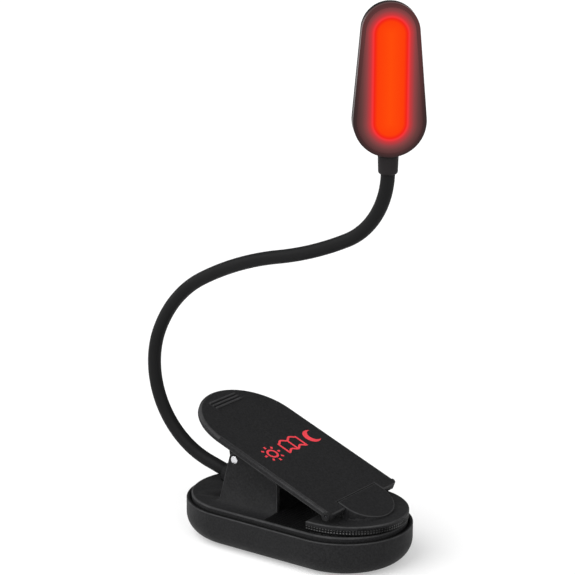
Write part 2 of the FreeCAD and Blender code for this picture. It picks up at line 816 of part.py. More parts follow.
def jaw_outline(margin, z0, z1):
    """The jaw's plan shape: a straight back and sides, and a half-elliptical front."""
    back = jaw_back + margin
    half = jaw_half - margin
    reach = jaw_front - jaw_bend - margin
    curve = Part.Ellipse(vec(jaw_bend + reach, 0, z0), vec(jaw_bend, half, z0), vec(jaw_bend, 0, z0))
    front = Part.ArcOfEllipse(curve, -math.pi / 2, math.pi / 2).toShape()
    corners = [vec(jaw_bend, half, z0), vec(back, half, z0), vec(back, -half, z0), vec(jaw_bend, -half, z0)]
    edges = [front] + [line_edge(a, b) for a, b in zip(corners[:-1], corners[1:])]
    return prism(Part.Wire(Part.sortEdges(edges)[0]), vec(0, 0, z1 - z0))


def jaw_boss():
    """The D-shaped boss in the lever's notch. Its top lies in the lever's top face, and its back turns
    under the notch as the lever opens."""
    half = notch_half - boss_side_gap
    slope = math.cos(math.radians(lever_pitch))
    back = lever_place.multVec(vec(-notch_depth + boss_back_gap, 0, boss_proud)).x
    bend = back + boss_straight * slope
    reach = boss_round * slope
    top = lever_origin.z + lever_thickness
    if reach > half:
        curve = Part.Ellipse(vec(bend + reach, 0, jaw_top), vec(bend, half, jaw_top), vec(bend, 0, jaw_top))
        front = Part.ArcOfEllipse(curve, -math.pi / 2, math.pi / 2).toShape()
    else:
        curve = Part.Ellipse(vec(bend, half, jaw_top), vec(bend - reach, 0, jaw_top), vec(bend, 0, jaw_top))
        front = Part.ArcOfEllipse(curve, -math.pi, 0).toShape()
    corners = [vec(x, side * half, jaw_top) for x, side in ((bend, 1), (back, 1), (back, -1), (bend, -1))]
    edges = [front] + [line_edge(a, b) for a, b in zip(corners[:-1], corners[1:])]
    boss = prism(Part.Wire(Part.sortEdges(edges)[0]), vec(0, 0, top - jaw_top))
    above = in_lever_frame(box(-lever_length, lever_length, -lever_width, lever_width, boss_proud,
                               boss_proud + lever_length))
    boss = boss.cut(above)

    def top_rim(edge):
        return all(abs(lever_place.inverse().multVec(corner.Point).z - boss_proud) < edge_tolerance
                   for corner in edge.Vertexes)
    boss = round_edges(boss, boss_edge_round, top_rim)
    swing = notch_depth - knuckle_radius - boss_swing_gap
    behind = box(jaw_pin_point.x - notch_width, jaw_pin_point.x, -jaw_half, jaw_half, jaw_top - overrun,
                 jaw_pin_point.z)
    kept = rod_y(jaw_pin_point.x, jaw_pin_point.z, swing, -jaw_half, jaw_half)
    return boss.cut(behind.cut(kept))


def jaw_holder():
    plate = jaw_outline(0, jaw_plate_bottom, jaw_top)
    plate = round_edges(plate, jaw_edge_round, lies_at(2, jaw_top))
    bore = rod_y(jaw_pin_point.x, jaw_pin_point.z, jaw_pin_diameter / 2 + jaw_pin_running_fit,
                 -jaw_half, jaw_half)
    return plate.fuse(jaw_boss()).cut(bore).removeSplitter()


def jaw_pad():
    return jaw_outline(jaw_pad_margin, jaw_pad_bottom, jaw_plate_bottom)


def torsion_spring():
    """A close coil round the hinge pin. Its two straight legs leave the coil as tangents towards the tail:
    one down to the cover and one up to the lever's underside."""
    radius = pin_radius + spring_clearance + spring_wire / 2
    turns = spring_whole_turns + 1 - 2 * spring_leg_slant / 360
    helix = Part.makeHelix(spring_pitch, turns * spring_pitch, radius)
    helix.translate(vec(0, 0, -turns * spring_pitch / 2))
    helix.rotate(vec(0, 0, 0), UP, 180 + spring_leg_slant)
    helix.rotate(vec(0, 0, 0), vec(1, 0, 0), -90)
    helix.translate(hinge_point)
    coil = helix.Edges[0]
    low, high = coil.valueAt(coil.FirstParameter), coil.valueAt(coil.LastParameter)
    down = coil.tangentAt(coil.FirstParameter) * -1
    up = coil.tangentAt(coil.LastParameter)
    reach = spring_leg_gap + spring_wire / 2
    low_tip = low + down * ((low.z - cover_top - reach) / -down.z)
    plate_normal = lever_turn.multVec(UP)
    depth = (lever_origin - high).dot(plate_normal) - lever_thickness - reach
    high_tip = high + up * (depth / up.dot(plate_normal))
    path = Part.Wire([line_edge(low_tip, low), coil, line_edge(high, high_tip)])
    profile = Part.Wire(Part.makeCircle(spring_wire / 2, low_tip, low - low_tip))
    return path.makePipeShell([profile], True, True)


# ---- neck ----

def neck_segments():
    """The centreline as (kind, length, start x, start z, start heading, radius, turn sense) records."""
    heading = neck_root_heading
    slope = math.radians(heading)
    x = neck_mouth_x - socket_depth * math.cos(slope)
    z = neck_mouth_z - socket_depth * math.sin(slope)
    run = socket_depth + neck_straight
    segments = [("line", run, x, z, heading, 0.0, 0)]
    x += run * math.cos(slope)
    z += run * math.sin(slope)
    for radius, target in zip(neck_radii, neck_headings):
        sense = 1 if target > heading else -1
        length = radius * math.radians(abs(target - heading))
        segments.append(("arc", length, x, z, heading, radius, sense))
        start, end = math.radians(heading), math.radians(target)
        x += sense * radius * (math.sin(end) - math.sin(start))
        z += sense * radius * (math.cos(start) - math.cos(end))
        heading = target
    segments.append(("line", neck_tip_run + overrun, x, z, heading, 0.0, 0))
    return segments


def locate(distance):
    """The point and heading at a distance along the centreline; before its start the first line runs on."""
    segments = neck_segments()
    for index, (kind, length, x, z, heading, radius, sense) in enumerate(segments):
        if distance <= length or index == len(segments) - 1:
            start = math.radians(heading)
            if kind == "line":
                return x + distance * math.cos(start), z + distance * math.sin(start), heading
            turned = heading + sense * math.degrees(distance / radius)
            end = math.radians(turned)
            return (x + sense * radius * (math.sin(end) - math.sin(start)),
                    z + sense * radius * (math.cos(start) - math.cos(end)), turned)
        distance -= length
    raise ValueError("the neck has no segments")


def neck_point(distance):
    x, z, _ = locate(distance)
    return vec(x, 0, z)


def neck_direction(distance):
    heading = math.radians(locate(distance)[2])
    return vec(math.cos(heading), 0, math.sin(heading))


def core_offset(distance, rise, side):
    """An offset from the centreline: rise along its upper normal and side along Y."""
    direction = neck_direction(distance)
    return vec(-direction.z, 0, direction.x) * rise + ALONG_Y * side


def neck_length():
    return sum(segment[1] for segment in neck_segments()[:-1])


def swept(start, end, rise, side, radius, bore):
    """A round rod or tube along the centreline, offset from it by rise and side."""
    pieces = []
    covered = 0.0
    for kind, length, x, z, heading, bend, sense in neck_segments():
        low, high = max(start, covered), min(end, covered + length)
        if covered == 0.0:
            low = start
        if low < high:
            centre = neck_point(low) + core_offset(low, rise, side)
            direction = neck_direction(low)
            rings = [Part.Wire(Part.makeCircle(radius, centre, direction))]
            if bore > 0:
                rings.append(Part.Wire(Part.makeCircle(bore, centre, direction)))
            face = Part.makeFace(rings, "Part::FaceMakerBullseye")
            if kind == "line":
                pieces.append(face.extrude(direction * (high - low)))
            else:
                first = math.radians(heading)
                hub = vec(x - sense * bend * math.sin(first), 0, z + sense * bend * math.cos(first))
                turn = math.degrees((high - low) / bend)
                pieces.append(face.revolve(hub, vec(0, -sense, 0), turn))
        covered += length
    if len(pieces) == 1:
        return pieces[0]
    return pieces[0].multiFuse(pieces[1:]).removeSplitter()


def joint_distance(index):
    return first_joint + index * joint_pitch


def ball(index, radius):
    return Part.makeSphere(radius, neck_point(joint_distance(index)))


def neck_span(index, rise, side, radius, bore):
    """One span of a rod or tube: index 0 is the root and joint_count is the tip. At each joint the upper
    span ends in part of a ball, and the lower span is hollowed round it."""
    start = 0.0 if index == 0 else joint_distance(index - 1)
    end = neck_length() + neck_tip_run if index == joint_count else joint_distance(index)
    solid = swept(start, end, rise, side, radius, bore)
    if index < joint_count:
        solid = solid.cut(ball(index, sleeve_radius + ball_gap))
    if index > 0:
        cap = swept(start - sleeve_radius, start, rise, side, radius, bore)
        solid = solid.fuse(cap.common(ball(index - 1, sleeve_radius))).removeSplitter()
    return solid


def neck_sleeve(index):
    return neck_span(index, 0, 0, sleeve_radius, neck_bore / 2)


def neck_wire(index):
    return neck_span(index, stay_wire_offset, 0, stay_wire_diameter / 2, 0)


def neck_lead_pair(index):
    return Part.makeCompound([neck_span(index, -lead_drop, side * lead_side, lead_diameter / 2, 0)
                              for side in (-1, 1)])


def neck_ferrule():
    """The crimped ring behind the neck's root, in the bottom of the socket."""
    start = neck_point(0) - neck_direction(0) * (ferrule_length + ferrule_gap)
    heading = neck_direction(0)
    outer = Part.makeCylinder(sleeve_radius, ferrule_length, start, heading)
    return outer.cut(Part.makeCylinder(neck_bore / 2 + ferrule_gap, ferrule_length, start, heading))


# ---- head, in its own frame: x across, y from front to back, z up, on the neck's axis ----

def head_place():
    end = neck_point(neck_length())
    return FreeCAD.Placement(vec(end.x, 0, 0), FreeCAD.Rotation(UP, head_yaw))


def in_head_frame(shape):
    placed = shape.copy()
    placed.Placement = head_place().multiply(placed.Placement)
    return placed


def head_prism(inset, y0, y1):
    """The head's outline, two circles joined by tangents, as a solid from y0 to y1."""
    lower, upper = head_lower_radius - inset, head_upper_radius - inset
    spacing = head_upper_z - head_lower_z
    lean = math.asin((head_lower_radius - head_upper_radius) / spacing)
    c, s = math.cos(lean), math.sin(lean)

    def at(side, radius, z):
        return vec(side * radius * c, y0, z + radius * s)
    corners = [at(-1, lower, head_lower_z), at(1, lower, head_lower_z),
               at(1, upper, head_upper_z), at(-1, upper, head_upper_z)]
    edges = [arc_edge(corners[0], vec(0, y0, head_lower_z - lower), corners[1]),
             line_edge(corners[1], corners[2]),
             arc_edge(corners[2], vec(0, y0, head_upper_z + upper), corners[3]),
             line_edge(corners[3], corners[0])]
    return prism(Part.Wire(edges), vec(0, y1 - y0, 0))


def light_prism(width, length, y0, y1):
    """An upright stadium round the light's centre, from y0 to y1."""
    solid = stadium(length, width, 0, y1 - y0)
    solid.rotate(vec(0, 0, 0), UP, 90)
    solid.rotate(vec(0, 0, 0), vec(1, 0, 0), -90)
    solid.translate(vec(0, y0, light_z))
    return solid


head_front_y = -head_front
lens_back_y = head_front_y + lens_thickness
diffuser_front_y = lens_back_y + lens_ledge_depth
reflector_front_y = diffuser_front_y + diffuser_thickness
led_board_front_y = reflector_front_y + reflector_depth


def head_rear_shell():
    shell = head_prism(0, -head_split, head_back)
    shell = round_edges(shell, head_back_round, lies_at(1, head_back))
    hollow = head_prism(head_wall, -head_split - overrun, head_back - head_wall)
    hollow = round_edges(hollow, head_back_round - head_wall, lies_at(1, head_back - head_wall))
    shell = shell.cut(hollow)
    for z in (light_z - board_rest_spacing / 2, light_z + board_rest_spacing / 2):
        shell = shell.fuse(rod_y(0, z, board_rest_radius, led_board_front_y + led_board_thickness + seat_gap,
                                 head_back - head_wall / 2))
    return shell.cut(neck_entry()).removeSplitter()


def neck_entry():
    """The round hole in the head's foot for the collar's spigot."""
    return rod_z(0, 0, collar_top_radius - collar_step, head_bottom - collar_height, spigot_top() + overrun)


def head_bezel():
    ring = head_prism(0, head_front_y, -head_split - seat_gap)
    ring = round_edges(ring, head_front_round, lies_at(1, head_front_y))
    opening = head_prism(bezel_width, head_front_y - overrun, lens_back_y)
    ledge = head_prism(bezel_width + lens_ledge, lens_back_y - overrun, diffuser_front_y)
    room = head_prism(head_wall, diffuser_front_y, overrun)
    return ring.cut(opening.multiFuse([ledge, room])).cut(neck_entry()).removeSplitter()


def head_lens():
    face = head_front_y + lens_setback
    lens = head_prism(bezel_width + lens_fit, face, lens_back_y - lens_seat_gap)
    return round_edges(lens, lens_edge_round, lies_at(1, face))


def head_diffuser():
    return light_prism(light_width, light_length, diffuser_front_y + lens_seat_gap, reflector_front_y)


def head_reflector():
    outer = light_prism(light_width + 2 * reflector_wall, light_length + 2 * reflector_wall,
                        diffuser_front_y + lens_seat_gap, led_board_front_y)
    seat_growth = 2 * reflector_fit
    seat = light_prism(light_width + seat_growth, light_length + seat_growth, diffuser_front_y - overrun,
                       reflector_front_y)
    rims = []
    for y, shrink in ((reflector_front_y, reflector_lip),
                      (led_board_front_y, reflector_lip + reflector_taper)):
        rims.append(light_prism(light_width - shrink, light_length - shrink, y, y + overrun).Faces)
    wires = [min(faces, key=lambda face: face.CenterOfMass.y).OuterWire for faces in rims]
    cone = Part.makeLoft(wires, True, True)
    return outer.cut(seat).cut(cone)


def led_board():
    return light_prism(light_width + 2 * reflector_wall, light_length + 2 * reflector_wall,
                       led_board_front_y, led_board_front_y + led_board_thickness)


def leds():
    width, height, depth = led_size
    solids = []
    for index in range(led_count):
        z = light_z + (index - (led_count - 1) / 2) * led_pitch
        solids.append(box(-width / 2, width / 2, led_board_front_y - depth, led_board_front_y,
                          z - height / 2, z + height / 2))
    return Part.makeCompound(solids)


def head_leads():
    """The neck's leads, from its tip up through the collar, back under the LED board and up to its pads."""
    place = head_place().inverse()
    top = neck_length() + neck_tip_run
    back = led_board_front_y + led_board_thickness + lead_diameter / 2
    level = spigot_top() + lead_diameter / 2 + lead_clearance
    pad_z = light_z - light_length / 2 + head_pad_height
    solids = []
    for side in (-1, 1):
        start = place.multVec(neck_point(top) + core_offset(top, -lead_drop, side * lead_side))
        knee = vec(start.x, start.y, level)
        foot = vec(side * head_pad_x, back, level)
        points = [start, knee, foot, vec(foot.x, foot.y, pad_z)]
        solids.append(routed_lead(points, lead_bend, lead_diameter / 2))
    return Part.makeCompound(solids)


def spigot_top():
    return head_bottom + head_wall + collar_spigot_proud


def head_collar():
    """The strain-relief collar under the head: a tapered ring with a rounded lower edge and a spigot."""
    top = head_bottom + collar_overlap
    bottom = head_bottom - collar_height
    outer = Part.makeCone(collar_bottom_radius, collar_top_radius, top - bottom, vec(0, 0, bottom))
    outer = round_edges(outer, collar_round, lies_at(2, bottom))
    spigot = rod_z(0, 0, collar_top_radius - collar_step - seat_gap, top - fused_depth, spigot_top())
    neck_end = neck_point(neck_length()).z + neck_tip_run
    bore = rod_z(0, 0, sleeve_radius + collar_fit, bottom - overrun, neck_end)
    lead_way = rod_z(0, 0, neck_bore / 2, neck_end - fused_depth, spigot_top() + overrun)
    collar = outer.fuse(spigot).cut(bore.fuse(lead_way))
    head = head_prism(0, head_front_y, head_back).cut(neck_entry())
    return collar.cut(head).removeSplitter()


# ---- the nodes ----

def all_parts():
    parts = {
        "base_tray": base_tray(), "base_cover": base_cover(), "base_pad": base_pad(),
        "battery_cell": battery_cell(), "battery_tape": battery_tape(), "circuit_board": circuit_board(),
        "usb_port": usb_port(), "tact_switch": tact_switch(), "switch_plunger": switch_plunger(),
        "power_button": power_button(), "charge_indicator": charge_indicator(), "board_parts": board_parts(),
        "case_screws": case_screws(), "board_screws": board_screws(), "battery_leads": battery_leads(),
        "neck_leads": neck_leads(), "neck_ferrule": neck_ferrule(), "hinge_pin": hinge_pin(),
        "torsion_spring": torsion_spring(), "clip_lever": clip_lever(), "jaw_pin": jaw_pin(),
        "jaw_holder": jaw_holder(), "jaw_pad": jaw_pad(),
        "head_collar": in_head_frame(head_collar()), "head_rear_shell": in_head_frame(head_rear_shell()),
        "head_bezel": in_head_frame(head_bezel()), "head_lens": in_head_frame(head_lens()),
        "head_diffuser": in_head_frame(head_diffuser()), "head_reflector": in_head_frame(head_reflector()),
        "led_board": in_head_frame(led_board()), "leds": in_head_frame(leds()),
        "head_leads": in_head_frame(head_leads()),
    }
    for index in range(joint_count + 1):
        name = {0: "root", joint_count: "tip"}.get(index, str(index))
        parts["neck_sleeve_" + name] = neck_sleeve(index)
        parts["neck_wire_" + name] = neck_wire(index)
        parts["neck_lead_pair_" + name] = neck_lead_pair(index)
    return parts


def main():
    os.makedirs("parts", exist_ok=True)
    for name, shape in all_parts().items():
        bounds = shape.BoundBox
        print(f"{name}: valid={shape.isValid()} solids={len(shape.Solids)} volume={shape.Volume:.1f} "
              f"x {bounds.XMin:.1f}..{bounds.XMax:.1f} y {bounds.YMin:.1f}..{bounds.YMax:.1f} "
              f"z {bounds.ZMin:.1f}..{bounds.ZMax:.1f}")
        shape.exportStep(f"parts/{name}.step")
    for index in range(joint_count):
        point = neck_point(joint_distance(index))
        along = neck_direction(joint_distance(index))
        print(f"neck joint {index + 1}: x {point.x:.3f} z {point.z:.3f} along {along.x:.5f} {along.z:.5f}")
    print(f"jaw pin: x {jaw_pin_point.x:.3f} z {jaw_pin_point.z:.3f}")
    print(f"neck end: {neck_point(neck_length())}, length {neck_length():.1f}")


main()
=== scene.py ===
"""Clip-on reading lamp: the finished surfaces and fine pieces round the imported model.

The frame gives the places of all parts in metres. Sizes here are in millimetres unless a docstring
or a comment says otherwise, and MM turns them into metres.
"""

import json
import logging
import math
from dataclasses import dataclass
from enum import Enum
from functools import cached_property
from typing import Sequence

import bmesh
import bpy
from mathutils import Matrix, Vector

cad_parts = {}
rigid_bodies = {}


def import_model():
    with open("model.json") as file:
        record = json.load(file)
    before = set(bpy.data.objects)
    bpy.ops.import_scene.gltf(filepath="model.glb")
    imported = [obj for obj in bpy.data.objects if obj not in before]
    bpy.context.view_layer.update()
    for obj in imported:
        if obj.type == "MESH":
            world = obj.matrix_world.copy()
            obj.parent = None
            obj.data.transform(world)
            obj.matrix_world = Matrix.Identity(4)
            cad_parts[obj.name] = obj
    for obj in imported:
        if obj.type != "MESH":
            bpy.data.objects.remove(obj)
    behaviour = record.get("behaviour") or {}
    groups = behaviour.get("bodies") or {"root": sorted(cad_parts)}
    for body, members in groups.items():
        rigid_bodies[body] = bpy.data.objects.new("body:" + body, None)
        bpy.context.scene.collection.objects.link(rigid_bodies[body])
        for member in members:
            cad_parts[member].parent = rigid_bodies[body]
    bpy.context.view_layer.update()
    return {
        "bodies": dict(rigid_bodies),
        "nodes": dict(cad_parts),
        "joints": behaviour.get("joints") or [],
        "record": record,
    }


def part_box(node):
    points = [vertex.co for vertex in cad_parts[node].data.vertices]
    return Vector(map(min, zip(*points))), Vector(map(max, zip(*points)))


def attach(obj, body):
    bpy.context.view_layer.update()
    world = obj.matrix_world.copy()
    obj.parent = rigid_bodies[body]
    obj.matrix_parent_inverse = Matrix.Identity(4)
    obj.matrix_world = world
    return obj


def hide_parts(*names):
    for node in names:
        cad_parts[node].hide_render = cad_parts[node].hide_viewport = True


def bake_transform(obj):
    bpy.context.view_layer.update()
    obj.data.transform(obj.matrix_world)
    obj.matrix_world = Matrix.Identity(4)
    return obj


MM = 0.001
UP = Vector((0.0, 0.0, 1.0))
ASIDE = Vector((0.0, 1.0, 0.0))
WHITE = (1.0, 1.0, 1.0, 1.0)
LOG = logging.getLogger("reading_lamp")

# The face attribute that marks the small rounded edges which get a painted highlight, and which
# faces count as a small rounded edge: how far they turn from their neighbours, and the largest
# radius.
EDGE_HIGHLIGHT = "painted_edge_highlight"
EDGE_TURN = (math.radians(3), math.radians(50))
EDGE_RADIUS = 1.3

# An edge that turns by more degrees than this stays sharp.
SHARP_TURN = 32.0

# Points of a copied node that are nearer than this, in metres, are merged.
MERGE_REACH = 0.0005 * MM

# Above 50, large faces count for more than small ones where a copy's normals are evened out.
NORMAL_WEIGHT = 80

# Most of a noise pattern's values lie between these.
PATTERN_MIDDLE = (0.3, 0.7)

# A stud is a four-sided diamond.
STUD_SIDES = 4

Material = bpy.types.Material
Piece = bpy.types.Object
Socket = bpy.types.NodeSocket
Colour = tuple[float, float, float]

# Bump patterns with their depths, a glow's distances with their colours, and a band's left and
# right sides with whether its ends join.
Relief = list[tuple[Socket, float]]
Stops = tuple[tuple[float, Colour], ...]
Band = tuple[list[Vector], list[Vector], bool]


class Slot(Enum):
    """The record's material slots, listed beside the new pieces, though nothing reads them."""

    CASING = "casing"
    PAD = "pad_rubber"
    NECK = "neck_rubber"
    STEEL = "steel"
    LENS = "smoked_lens"


def srgb(red: float, green: float, blue: float) -> Colour:
    """Turn a display colour of 0 to 255 into a linear one.

    Args:
        red, green, blue: the display values.

    Returns:
        The three linear values of 0 to 1.
    """
    def linear(value: float) -> float:
        """Turn one display value into a linear one."""
        part = value / 255
        return part / 12.92 if part <= 0.04045 else ((part + 0.055) / 1.055) ** 2.4
    return linear(red), linear(green), linear(blue)


# ---------------------------------------------------------------- finishes


class ShaderTree:
    """A new material's node tree, with short ways to add and join nodes."""

    def __init__(self, name: str) -> None:
        """Make the material with a Principled shader joined to its output.

        Args:
            name: the material's name.
        """
        self.material = bpy.data.materials.new(name)
        self.material.use_nodes = True
        self.nodes = self.material.node_tree.nodes
        self.links = self.material.node_tree.links
        self.nodes.clear()
        self.shader = self.nodes.new("ShaderNodeBsdfPrincipled")
        output = self.nodes.new("ShaderNodeOutputMaterial")
        self.links.new(self.shader.outputs["BSDF"], output.inputs["Surface"])
        self.place = self.nodes.new("ShaderNodeTexCoord").outputs["Object"]

    def set(self, **values: object) -> None:
        """Set the shader's own sockets, with underscores for the spaces in their names."""
        for name, value in values.items():
            self.shader.inputs[name.replace("_", " ")].default_value = value

    def join(self, source: Socket, name: str) -> None:
        """Join a socket to one of the shader's inputs."""
        self.links.new(source, self.shader.inputs[name])

    def scaled(self, scale: Sequence[float]) -> Socket:
        """Scale the piece's own coordinates.

        Args:
            scale: the factor along each axis.

        Returns:
            The scaled coordinates' socket.
        """
        mapping = self.nodes.new("ShaderNodeMapping")
        mapping.inputs["Scale"].default_value = scale
        self.links.new(self.place, mapping.inputs["Vector"])
        return mapping.outputs["Vector"]

    def noise(self, size: float, detail: float = 2.0,
              stretch: Sequence[float] = (1, 1, 1)) -> Socket:
        """Add a noise pattern.

        Args:
            size: the size of its features in millimetres.
            detail: the number of finer layers.
            stretch: how much longer the features are along each axis.

        Returns:
            The pattern's value socket, about 0.5 on average.
        """
        noise = self.nodes.new("ShaderNodeTexNoise")
        noise.inputs["Scale"].default_value = 1.0
        noise.inputs["Detail"].default_value = detail
        self.links.new(self.scaled([1 / (size * MM * s) for s in stretch]), noise.inputs["Vector"])
        return noise.outputs["Fac"]

    def spread(self, source: Socket, low: float, high: float) -> Socket:
        """Stretch a pattern's middle part over a range of values.

        Args:
            source: the pattern's socket.
            low, high: the range's ends.

        Returns:
            The result's socket.
        """
        node = self.nodes.new("ShaderNodeMapRange")
        node.inputs["From Min"].default_value = PATTERN_MIDDLE[0]
        node.inputs["From Max"].default_value = PATTERN_MIDDLE[1]
        node.inputs["To Min"].default_value = low
        node.inputs["To Max"].default_value = high
        self.links.new(source, node.inputs["Value"])
        return node.outputs["Result"]

    def blend(self, factor: Socket, low: object, high: object) -> Socket:
        """Mix two colours by a pattern.

        Args:
            factor: the pattern's socket.
            low, high: each a colour or a socket.

        Returns:
            The colour socket.
        """
        node = self.nodes.new("ShaderNodeMix")
        node.data_type = "RGBA"
        colours = [socket for socket in node.inputs if socket.type == "RGBA"]
        for socket, value in zip(colours, (low, high)):
            if isinstance(value, Socket):
                self.links.new(value, socket)
            else:
                socket.default_value = (*value, 1.0)
        self.links.new(factor, node.inputs["Factor"])
        return [socket for socket in node.outputs if socket.type == "RGBA"][0]

    def compute(self, operation: str, first: object, second: object = 0.0) -> Socket:
        """Add a Math node.

        Args:
            operation: the node's operation.
            first, second: each a socket or a number.

        Returns:
            The result's socket.
        """
        node = self.nodes.new("ShaderNodeMath")
        node.operation = operation
        for index, value in enumerate((first, second)):
            if isinstance(value, Socket):
                self.links.new(value, node.inputs[index])
            else:
                node.inputs[index].default_value = value
        return node.outputs[0]

    def bump(self, heights: Relief) -> None:
        """Chain bumps on the shader's normal.

        Args:
            heights: each pattern's socket and its depth in millimetres.
        """
        normal = None
        for height, depth in heights:
            node = self.nodes.new("ShaderNodeBump")
            node.inputs["Distance"].default_value = depth * MM
            self.links.new(height, node.inputs["Height"])
            if normal is not None:
                self.links.new(normal, node.inputs["Normal"])
            normal = node.outputs["Normal"]
        if normal is not None:
            self.join(normal, "Normal")


@dataclass(frozen=True)
class Finish:
    """A moulded or painted surface: a slightly mottled colour and a fine even grain.

    The mottle is a share of the colour, and scuff_scale is a share of the mottle's size.
    """

    name: str
    colour: Colour
    roughness: float = 0.5
    specular: float = 0.5
    metallic: float = 0.0
    mottle: float = 0.15
    mottle_size: float = 9.0
    grain: float = 0.35
    grain_depth: float = 0.012
    scuff: float = 0.06
    scuff_scale: float = 0.6

    def build(self) -> Material:
        """Make the material.

        Returns:
            The new material.
        """
        tree = ShaderTree(self.name)
        tree.set(Metallic=self.metallic, Specular_IOR_Level=self.specular)
        darker = self.tinted(1 - self.mottle)
        lighter = self.tinted(1 + self.mottle)
        tree.join(tree.blend(tree.noise(self.mottle_size), darker, lighter), "Base Color")
        scuffs = tree.noise(self.mottle_size * self.scuff_scale, detail=4.0)
        smoothest, roughest = self.roughness - self.scuff, self.roughness + self.scuff
        tree.join(tree.spread(scuffs, smoothest, roughest), "Roughness")
        tree.bump(self.relief(tree))
        self.extra(tree)
        return tree.material

    def tinted(self, factor: float) -> Colour:
        """Darken or lighten the colour by a factor, to 1 at most."""
        return tuple(min(1.0, value * factor) for value in self.colour)

    def relief(self, tree: ShaderTree) -> Relief:
        """List the surface's bump patterns with their depths."""
        return [(tree.noise(self.grain, detail=3.0), self.grain_depth)]

    def extra(self, tree: ShaderTree) -> None:
        """Add what a special finish needs."""


@dataclass(frozen=True)
class SatinPlastic(Finish):
    """Black moulded plastic with a spark-eroded grain, a mould's soft waviness and a painted
    highlight on its small rounded edges.
    """

    grain: float = 0.7
    grain_depth: float = 0.03
    wave: float = 14.0
    wave_depth: float = 0.02
    speck: float = 0.55
    speck_light: float = 2.4
    speck_share: float = 0.6
    # The painted highlight's colour on small rounded edges, the size of its uneven patches as a
    # share of the mottle's size, and its least strength in them.
    worn: Colour = (0.045, 0.045, 0.046)
    worn_scale: float = 0.4
    worn_least: float = 0.45

    def extra(self, tree: ShaderTree) -> None:
        """Add the grain's light specks, and paint an uneven highlight on the small rounded edges.

        Args:
            tree: the material's nodes.
        """
        # Painted highlight: faces marked as small rounded edges are blended towards a lighter
        # colour, unevenly in patches.
        marked = tree.nodes.new("ShaderNodeAttribute")
        marked.attribute_name = EDGE_HIGHLIGHT
        patches = tree.noise(self.mottle_size * self.worn_scale, detail=3.0)
        factor = tree.compute("MULTIPLY", marked.outputs["Fac"],
                              tree.spread(patches, self.worn_least, 1.0))
        bare = tree.shader.inputs["Base Color"].links[0].from_socket
        specks = tree.spread(tree.noise(self.speck), 0.0, self.speck_share)
        specked = tree.blend(specks, bare, self.tinted(self.speck_light))
        tree.join(tree.blend(factor, specked, self.worn), "Base Color")

    def relief(self, tree: ShaderTree) -> Relief:
        """List the waviness and the grain."""
        return [(tree.noise(self.wave, detail=1.0), self.wave_depth), *super().relief(tree)]


@dataclass(frozen=True)
class BrushedMetal(Finish):
    """Plated steel with fine scratches that run one way."""

    metallic: float = 1.0
    grain: float = 0.06
    grain_depth: float = 0.002
    stretch: tuple[float, float, float] = (1.0, 12.0, 1.0)

    def relief(self, tree: ShaderTree) -> Relief:
        """List the scratches."""
        return [(tree.noise(self.grain, 3.0, self.stretch), self.grain_depth)]


@dataclass(frozen=True)
class ClearPlastic(Finish):
    """A clear moulded piece that passes light."""

    clearness: float = 0.9
    refraction: float = 1.49

    def extra(self, tree: ShaderTree) -> None:
        """Let light through."""
        tree.set(Transmission_Weight=self.clearness, IOR=self.refraction)


@dataclass(frozen=True)
class PrintedBoard(Finish):
    """A circuit board: solder mask over faint copper tracks."""

    track_pitch: float = 1.2
    track_width: float = 0.12
    shade: float = 0.8
    shine: float = 1.9

    def extra(self, tree: ShaderTree) -> None:
        """Add straight tracks as a slightly lighter green.

        Args:
            tree: the material's nodes.
        """
        bricks = tree.nodes.new("ShaderNodeTexBrick")
        bricks.inputs["Scale"].default_value = 1.0
        bricks.inputs["Mortar Size"].default_value = self.track_width
        for name, factor in (("Color1", 1.0), ("Color2", self.shade), ("Mortar", self.shine)):
            bricks.inputs[name].default_value = (*self.tinted(factor), 1.0)
        tree.links.new(tree.scaled([1 / (self.track_pitch * MM)] * 3), bricks.inputs["Vector"])
        tree.join(bricks.outputs["Color"], "Base Color")


@dataclass(frozen=True)
class LitStrip(Finish):
    """The smoked lens over the lit strip: a hot core, a red edge and a haze that fades outwards."""

    centre: tuple[float, float, float] = (0.0, 0.0, 0.0)
    yaw: float = 0.0
    straight_half: float = 13.0
    stops: Stops = ()
    strength: float = 1.0

    def extra(self, tree: ShaderTree) -> None:
        """Light the lens by its distance from the strip's middle line.

        Args:
            tree: the material's nodes.
        """
        mapping = tree.nodes.new("ShaderNodeMapping")
        mapping.vector_type = "TEXTURE"
        mapping.inputs["Location"].default_value = self.centre
        mapping.inputs["Rotation"].default_value = (0.0, 0.0, self.yaw)
        mapping.inputs["Scale"].default_value = (MM, MM, MM)
        tree.links.new(tree.place, mapping.inputs["Vector"])
        parts = tree.nodes.new("ShaderNodeSeparateXYZ")
        tree.links.new(mapping.outputs["Vector"], parts.inputs["Vector"])
        height = tree.compute("ABSOLUTE", parts.outputs["Z"])
        beyond = tree.compute("MAXIMUM", tree.compute("SUBTRACT", height, self.straight_half), 0.0)
        across = tree.compute("MULTIPLY", parts.outputs["X"], parts.outputs["X"])
        squares = tree.compute("ADD", across, tree.compute("MULTIPLY", beyond, beyond))
        distance = tree.compute("SQRT", squares)
        reach = self.stops[-1][0]
        ramp = tree.nodes.new("ShaderNodeValToRGB")
        stops = ramp.color_ramp.elements
        while len(stops) < len(self.stops):
            stops.new(0.5)
        for stop, (place, colour) in zip(stops, self.stops):
            stop.position = place / reach
            stop.color = (*colour, 1.0)
        tree.links.new(tree.compute("DIVIDE", distance, reach), ramp.inputs["Fac"])
        tree.join(ramp.outputs["Color"], "Emission Color")
        tree.set(Emission_Strength=self.strength)


# ---------------------------------------------------------------- mesh helpers


def link(name: str, mesh: bpy.types.Mesh) -> Piece:
    """Make an object at the origin that shows a mesh.

    Args:
        name: the object's name.
        mesh: what it shows.

    Returns:
        The new object.
    """
    shown = bpy.data.objects.new(name, mesh)
    bpy.context.scene.collection.objects.link(shown)
    return shown


